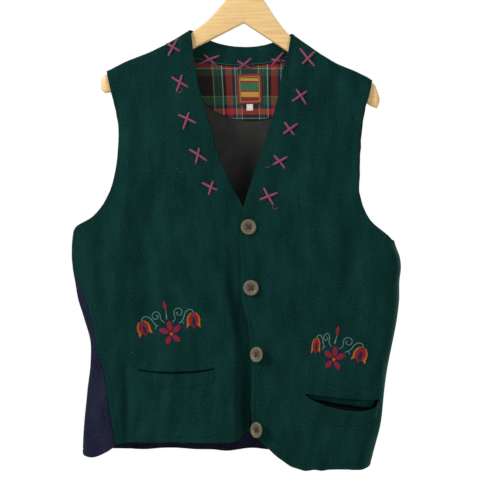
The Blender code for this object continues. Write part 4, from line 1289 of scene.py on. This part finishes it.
def make_crosses(name, crosses, tails, spot, look):
    """Cross stitches of thick yarn: each arm is plies twisted together that dive into the cloth."""
    yarn = Tubes()
    for route in tails:
        line = spline(np.arange(len(route)), route, np.linspace(0, len(route) - 1, 16))
        path, way = spot(*line.T, 0.6)
        yarn.add(path, TAIL_R, way, sides=5)
    for number, (x, down, *arms) in enumerate(crosses):
        for over, (angle, before, after) in enumerate((arms[:3], arms[3:])):
            run = np.linspace(-before, after, 26)
            t = np.linspace(-1, 1, 26)
            # No two stitches are pulled alike, so each bows a little to its own side.
            bow = 0.7 * math.sin(7.3 * number + 2.1 * over + x) * (1 - t**2)
            seen = turned(np.stack([run, bow], axis=-1), angle, x, down)
            thick = CROSS_R * (0.5 + 0.5 * np.sqrt(1 - np.abs(t) ** 2.5))
            lifted = over * 1.5 * np.exp(-((run / 3.5) ** 2))
            high = 0.3 + 1.1 * (1 - np.abs(t) ** 4) + lifted - 1.3 * np.abs(t) ** 8
            middle, way = spot(*seen.T, high)
            forward = unit(np.gradient(middle, axis=0))
            side = np.cross(forward, way)
            for ply in range(PLIES):
                turn = math.tau * (run / PLY_TURN + ply / PLIES)
                off = (thick - PLY_R * 0.8 + 0.5 * np.abs(t) ** 5)[:, None]
                path = middle + off * (np.cos(turn)[:, None] * side + 0.7 * np.sin(turn)[:, None] * way)
                yarn.add(path, PLY_R * thick / CROSS_R, way)
            # A few hairs stand off it.
            for hair in range(HAIRS):
                at = int(3 + hair * 4.6)
                lean = math.sin(12.9 * (hair + number) + over * 3.1 + x)
                root = middle[at] + way[at] * 0.8
                tip = root + side[at] * 2.6 * lean + way[at] * 0.5
                tip = tip + forward[at] * 1.5 * math.cos(5 * lean + hair)
                yarn.add(np.linspace(root, tip, 4), HAIR_R, way[at], sides=4)
    return yarn.piece(name, look)


def turned(points, angle, x=0.0, down=0.0):
    """Points turned by this angle, as seen, and moved."""
    c, s = math.cos(math.radians(angle)), math.sin(math.radians(angle))
    points = np.asarray(points, float)
    return points @ np.array([[c, s], [-s, c]]) + (x, down)


def oval(x, down, half_wide, half_high, angle=0.0, count=28):
    turn = np.linspace(0, math.tau, count, endpoint=False)
    return turned(np.stack([half_wide * np.cos(turn), half_high * np.sin(turn)], -1), angle, x, down)


def satin(threads, outline, angle, spot, lift=0.0):
    """Fills an outline with threads at this angle, which lie over each other higher in the middle."""
    flat = turned(outline, -angle)
    ends = np.roll(flat, -1, axis=0)
    low, high = flat[:, 1].min(), flat[:, 1].max()
    count = max(2, round((high - low) / SATIN_GAP))
    t = np.linspace(-1, 1, 7)
    lines, domes = [], []
    for i, level in enumerate(low + (np.arange(count) + 0.5) * (high - low) / count):
        crossed = (flat[:, 1] > level) != (ends[:, 1] > level)
        start, end = flat[crossed], ends[crossed]
        share = (level - start[:, 1]) / (end[:, 1] - start[:, 1])
        cuts = np.sort(blend(share, start[:, 0], end[:, 0]))
        across = 1 - abs((level - low) / (high - low) * 2 - 1) ** 2.5
        for a, b in zip(cuts[::2], cuts[1::2]):
            ragged = 0.28 * math.sin(i * 2.4) + 0.15
            run = blend((t + 1) / 2, a - ragged * 0.6, b + ragged)
            plump = SATIN_HIGH * (0.35 + 0.65 * across) * min(1, (b - a) / 5)
            lines.append(np.stack([run, np.full(7, level)], -1))
            domes.append(lift + plump * (1 - np.abs(t) ** 3) - 0.25 * np.abs(t) ** 6)
    paths, ways = spot(turned(lines, angle), np.array(domes))
    for path, way in zip(paths, ways):
        threads.add(path, SATIN_R, way, squash=0.75)


def stem_stitch(threads, route, spot, radius, count, lift=0.3):
    """A line of stem stitch: two threads twisted round each other along a smooth route."""
    knots = run_of(route)
    at = np.linspace(0, knots[-1], count)
    middle, way = spot(spline(knots, route, at), lift)
    side = np.cross(unit(np.gradient(middle, axis=0)), way)
    for ply in (0, 0.5):
        turn = math.tau * (at / STEM_TURN + ply)
        path = middle + radius * 0.7 * (np.cos(turn)[:, None] * side + 0.6 * np.sin(turn)[:, None] * way)
        threads.add(path, radius, way)


def make_motif(side, looks):
    """The posy above a pocket: satin-stitched flower, bells and bud on stem-stitched stems."""
    x, down, turn, *widen = MOTIFS[side]

    def spot(points, proud):
        arm = np.sign(points[..., 0]) * ARM_FROM
        wide = np.where(np.abs(points[..., 0]) < ARM_FROM, 1, np.where(arm < 0, *widen))
        eased = np.stack([arm + (points[..., 0] - arm) * wide, points[..., 1]], -1)
        seen = turned(eased, turn, x, down)
        return on_front(seen[..., 0], seen[..., 1], proud)

    threads = {colour: Tubes() for colour in looks}
    for tip_x, tip_down in PETAL_TIPS:
        far = math.hypot(tip_x, tip_down)
        angle = math.degrees(math.atan2(tip_down, tip_x))
        for colour, wide, start, end, lift in (
            ("blue", PETAL_WIDE + OUTLINE_WIDER, PETAL_FROM - OUTLINE_IN, far + OUTLINE_OUT, 0.0),
            ("red", PETAL_WIDE, PETAL_FROM, far, 0.55),
        ):
            middle = (start + end) / 2 / far
            petal = oval(tip_x * middle, tip_down * middle, (end - start) / 2, wide / 2, angle)
            satin(threads[colour], petal, angle + 8, spot, lift)
    satin(threads["orange"], oval(0, 0, EYE_R, EYE_R), 40, spot, 0.9)
    satin(threads["red"], BUD, 80, spot)
    for bell_x, bell_down, bell_turn in BELLS:
        place = (bell_turn, bell_x, bell_down)
        satin(threads["red"], turned(BELL_BODY, *place), bell_turn + 90, spot)
        for mirror in (-1, 1):
            side_petal = np.array(BELL_SIDE, float) * (mirror, 1)
            satin(threads["orange"], turned(side_petal, *place), bell_turn + 90 - mirror * 14, spot, 0.35)
        heart = oval(0, *BELL_HEART)
        satin(threads["blue"], turned(heart, *place), bell_turn + 90, spot, 0.75)
    for route in SCROLLS:
        stem_stitch(threads["stem"], route, spot, SCROLL_R, 110)
    for route in STEMS:
        stem_stitch(threads["stem"], route, spot, STEM_R, 80 if len(route) > 2 else 12)
    stem_stitch(threads["stem"], BUD_STEM, spot, SCROLL_R, 40)
    stem_stitch(threads["stem"], BUD_STEM[1:], spot, 0.6, 20, 0.4)
    return [
        tubes.piece(f"embroidery_{side}_{colour}", looks[colour]) for colour, tubes in threads.items()
    ]


def make_pocket_facing(name, panel):
    """The strip of wool that lines the upper inside of a pocket, seen where its mouth gapes."""
    low, high = panel.slit
    share = crowded(low + 0.015, high - 0.01, 40, 0.004)
    sink = crowded(0, 1, 14, 0.04)[:, None]
    along, top = panel.place(panel.pocket["row"] - SLIT_SHARE, share)
    deep = blend(np.clip((share - low) / (high - low), 0, 1), *STRIP_DEEP)
    fall = top - STRIP_ABOVE + sink * deep
    depth = WOOL + 1.5 + 4 * sink**1.5
    along = along[None, :] + 0 * fall
    lift = panel.lift(along, fall, np.full_like(fall, panel.pocket["row"]))
    middle, way = off_face(along, fall, -1, lift - depth)
    away = edge_distance(along, fall)
    half = rounded(STRIP, away)[..., None] * way
    return shell(
        name, middle + half, middle - half, np.stack([along, fall], -1), GREEN, away + EDGE_ROUND,
        slot="boiled_wool_green",
    )


def make_welt_seam(name, panel, look):
    """The sunk line of stitches that joins a welt to the front round its sides and foot: a dark tube,
    which also stands for the shadow in the seam's groove as painted shadow.
    """
    low, high = panel.slit
    t = np.linspace(0, 1, 90)
    share = blend(t, low, high)
    row, deep = panel.pocket["row"], welt_deep(panel, t)
    sides = np.linspace(0.1, 0.93, 12)
    start = panel.points(row + sides * deep[0], low)
    foot = panel.points((row + deep)[2:-2], share[2:-2])
    end = panel.points(row + sides[::-1] * deep[-1], high)
    seam = Tubes()
    seam.add(np.concatenate([start, foot, end]), WELT_SEAM_R, AHEAD, sides=8)
    return seam.piece(name, look, "boiled_wool_green")


def make_facing_stitches(look):
    """The stitches that hold the facing's lower edge down on the tartan."""
    x = np.linspace(FACING_X[0] + 3, FACING_X[1] - 3, 300)
    path, way = in_neck(x, facing_low(x) - 2.2, 0.1)
    stitches = running_stitch(path, FACING_STITCH, FACING_GAP, FACING_THREAD_R, way[0])
    return stitches.piece("facing_stitches", look)


def make_hem_stitches(name, panel, look):
    """The sewing that holds a front's turned hem: a row of stitches sunk into the wool."""
    share = np.linspace(0.03, 0.96, 900)
    high = panel.row_high(HEM - 0.25, share)
    path = panel.points(HEM - STITCHED / high, share, -0.25 - STITCH_DEEP / 2)
    stitches = running_stitch(path, STITCH_LONG, STITCH_GAP, HEM_THREAD_R, AHEAD, 0.8)
    return stitches.piece(name, look)


def make_button_threads(look):
    """The crossed threads in each button's holes, and the wound shank that holds it to the cloth."""
    h = BUTTON_HOLES_AT
    for i, (place, (*_, proud)) in enumerate(zip(button_frames(), BUTTONS), 1):
        thread = Tubes()
        turn = np.array(place.to_3x3())
        origin = np.array(place.translation) / MM
        t = np.linspace(-1, 1, 9)
        for number, (ax, ay) in enumerate(((h, h), (-h, h))):
            high = 2.55 + 0.5 * (1 - t**4) + 0.25 * number - 1.6 * t**8
            for strand in (-0.32, 0.32):
                local = np.stack([ax * t - strand * ay / h, ay * t + strand * ax / h, high], axis=-1)
                thread.add(local @ turn.T + origin, HOLE_THREAD_R, turn[:, 2])
        z = np.linspace(1.5, -proud - 0.6, 8)
        for angle in np.linspace(0, math.tau, SHANK_THREADS + 1)[:-1]:
            wound = angle + z * 0.5
            local = np.stack([SHANK_R * np.cos(wound), SHANK_R * np.sin(wound), z], axis=-1)
            out = turn @ np.array([math.cos(angle), math.sin(angle), 0.0])
            thread.add(local @ turn.T + origin, SHANK_THREAD_R, out)
        thread.piece(f"button_thread_{i}", look, "horn_buttons")


def make_hook(look):
    """The wire: up from the hanger's hump, out to one side and over the rail."""
    r = HOOK_BEND_R + HOOK_WIRE_R
    angles = np.radians(np.linspace(*HOOK_TURN, 60))
    route = [(x, 0, -down) for x, down in HOOK_STEM]
    route += [(r * math.cos(a), 0, r * math.sin(a) - HOOK_BEND_R) for a in angles]
    wire = Tubes()
    wire.add(route, HOOK_WIRE_R, AHEAD, sides=20)
    wire.piece("hook_wire", look, "steel_wire", "hook")


def set_the_scene():
    """The camera at the photograph's angle, a pale floor and soft studio light."""
    scene = bpy.context.scene
    scene.view_settings.view_transform = "Standard"
    camera = bpy.data.objects.new("camera", bpy.data.cameras.new("camera"))
    camera.data.sensor_width = SENSOR
    camera.data.lens = SENSOR * EYE_AWAY / FRAME_WIDE
    camera.location = (EYE_X * MM, -EYE_AWAY * MM, -EYE_DOWN * MM)
    camera.rotation_euler = (math.radians(90), 0, 0)
    scene.collection.objects.link(camera)
    scene.camera = camera
    # A white backdrop, which lights the object as dimly as the far walls of a studio would
    world = bpy.data.worlds.new("studio")
    world.use_nodes = True
    seen = add(world, "rays").outputs["Is Camera Ray"]
    bright = add(world, "map", {"Value": seen, "To Min": WALL_LIGHT})
    background = world.node_tree.nodes["Background"]
    feed(world, background.inputs["Color"], (1, 1, 1, 1))
    feed(world, background.inputs["Strength"], bright)
    scene.world = world
    for name, place, side, power in SOFT_BOXES:
        light = bpy.data.lights.new(name, "AREA")
        light.size, light.energy = side, power
        lamp = bpy.data.objects.new(name, light)
        lamp.location = place
        lamp.rotation_euler = (Vector(LIGHT_AIM) - Vector(place)).to_track_quat("-Z", "Y").to_euler()
        scene.collection.objects.link(lamp)
    look = finish_of("painted_studio_floor", Roughness=0.9, Specular_IOR_Level=0.1)
    local = add(look, "coordinates").outputs["Object"]
    wear_and_edge_shade = add(look, "noise", {"Vector": local, "Scale": 3.0, "Detail": 3.0})
    dress(look, add(look, "ramp", [wear_and_edge_shade], [(0.3, "#d9d8d5"), (0.7, "#dedddb")]))
    disc = bmesh.new()
    bmesh.ops.create_circle(disc, cap_ends=True, segments=96, radius=FLOOR_R)
    data = bpy.data.meshes.new("floor")
    disc.to_mesh(data)
    disc.free()
    data.materials.append(look)
    floor = bpy.data.objects.new("floor", data)
    floor.location = (0, 0, -FLOOR_DOWN)
    scene.collection.objects.link(floor)


vest = bpy.data.collections.new("embroidered_vest")
bpy.context.scene.collection.children.link(vest)
set_the_scene()

# Each wool's fifth colour is the painted shade drawn at its turned edges, and its sixth tints the sheen.
GREEN = boiled_wool("boiled_wool_green", "#021815", "#092a27", "#153f3a", "#031714", "#3f9a80")
NAVY = boiled_wool("boiled_wool_navy", "#0b0c1a", "#191b2d", "#2b2f44", "#121426", "#5c6480")
LINING_LOOK = charcoal_lining("charcoal_viscose_lining", "#292928", "#3d3d3c")
# Painted shade: the pocket bags' cotton is drawn almost black with a green cast, for the shade inside the
# pockets.
SHADED_POCKETING = charcoal_lining("cotton_pocketing_near_black_as_painted_shade", "#040706", "#090e0c")
PLUM = wool_yarn("crewel_wool_plum", "#6e2c44", "#a05a74")
# Dark green thread for the welt seams and the hems; round the welts its tube also stands for the shadow in
# the seam's groove, as painted shadow.
SEAM_SHADE = wool_yarn("dark_green_seam_thread_and_groove_shadow", "#031b18", "#082926")
CREWELS = {
    "blue": wool_yarn("crewel_wool_blue", "#0f1a3c", "#1b2954"),
    "red": wool_yarn("crewel_wool_madder", "#64181e", "#88282c"),
    "orange": wool_yarn("crewel_wool_orange", "#8e4018", "#bc6a2c"),
    "stem": wool_yarn("crewel_wool_grey_green", "#46645f", "#729490"),
}

SEAM_BEHIND = np.array([row[4] for row in FRONT_RIGHT], float)
BACK_CUT = np.array([row[5] for row in FRONT_RIGHT], float)
NECK_POINTS = (FRONT_LEFT[0][2:4], FRONT_RIGHT[0][2:4])
right_edges = edge_curves([row[:4] for row in FRONT_RIGHT], SEAM_BEHIND)
right = Panel(-1, right_edges, seam_line, front_hem(HEM_RIGHT), pocket=POCKET_RIGHT)
left = Panel(-1, edge_curves(FRONT_LEFT), seam_line, front_hem(HEM_LEFT), under_the_overlap, POCKET_LEFT)
left_hem_end = float(left.place(HEM, 0)[1])
right_hem_end = float(right.place(HEM, 0)[1])
back = Panel(1, back_edges, back_top, back_hem)

front_left = panel_piece("front_left", left, (18, 34, 24), (92, 20), GREEN, "boiled_wool_green")
front_right = panel_piece("front_right", right, (22, 34, 26), (96, 16), GREEN, "boiled_wool_green")
back_piece = panel_piece("back", back, (130,), (110,), NAVY, "boiled_wool_navy")
lining = make_lining()
yoke, facing, tapes = make_neck()
welts, bags, strips, sewing = {}, {}, {}, {}
for side, panel in (("left", left), ("right", right)):
    welts[side] = make_welt(f"welt_{side}", panel, GREEN)
    bags[side] = make_bag(f"pocket_bag_{side}", panel, SHADED_POCKETING)
    strips[side] = make_pocket_facing(f"pocket_facing_{side}", panel)
    sewing[side] = [
        make_welt_seam(f"welt_seam_{side}", panel, SEAM_SHADE),
        make_hem_stitches(f"hem_stitches_{side}", panel, SEAM_SHADE),
    ]
crosses = {
    "left": make_crosses("crosses_left", CROSSES_LEFT, TAILS_LEFT, on_front, PLUM),
    "right": make_crosses("crosses_right", CROSSES_RIGHT, TAILS_RIGHT, on_front, PLUM),
    "neck": make_crosses("crosses_neck", CROSSES_NECK, [], in_neck, PLUM),
}
facing_stitches = make_facing_stitches(wool_yarn("sewing_thread_grey_green", "#4c6a60", "#688578"))
motifs = {side: make_motif(side, CREWELS) for side in ("left", "right")}
make_buttons()
make_button_threads(wool_yarn("waxed_button_thread", "#2a2418", "#4a4232"))
hanger = make_hanger(varnished_beech())
make_hook(nickelled_steel())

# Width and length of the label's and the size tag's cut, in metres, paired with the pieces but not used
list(motifs["left"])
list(sewing["left"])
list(motifs["right"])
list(sewing["right"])
for tape, size in zip(tapes, ((0.040, 0.048), (0.0104, 0.0107))):
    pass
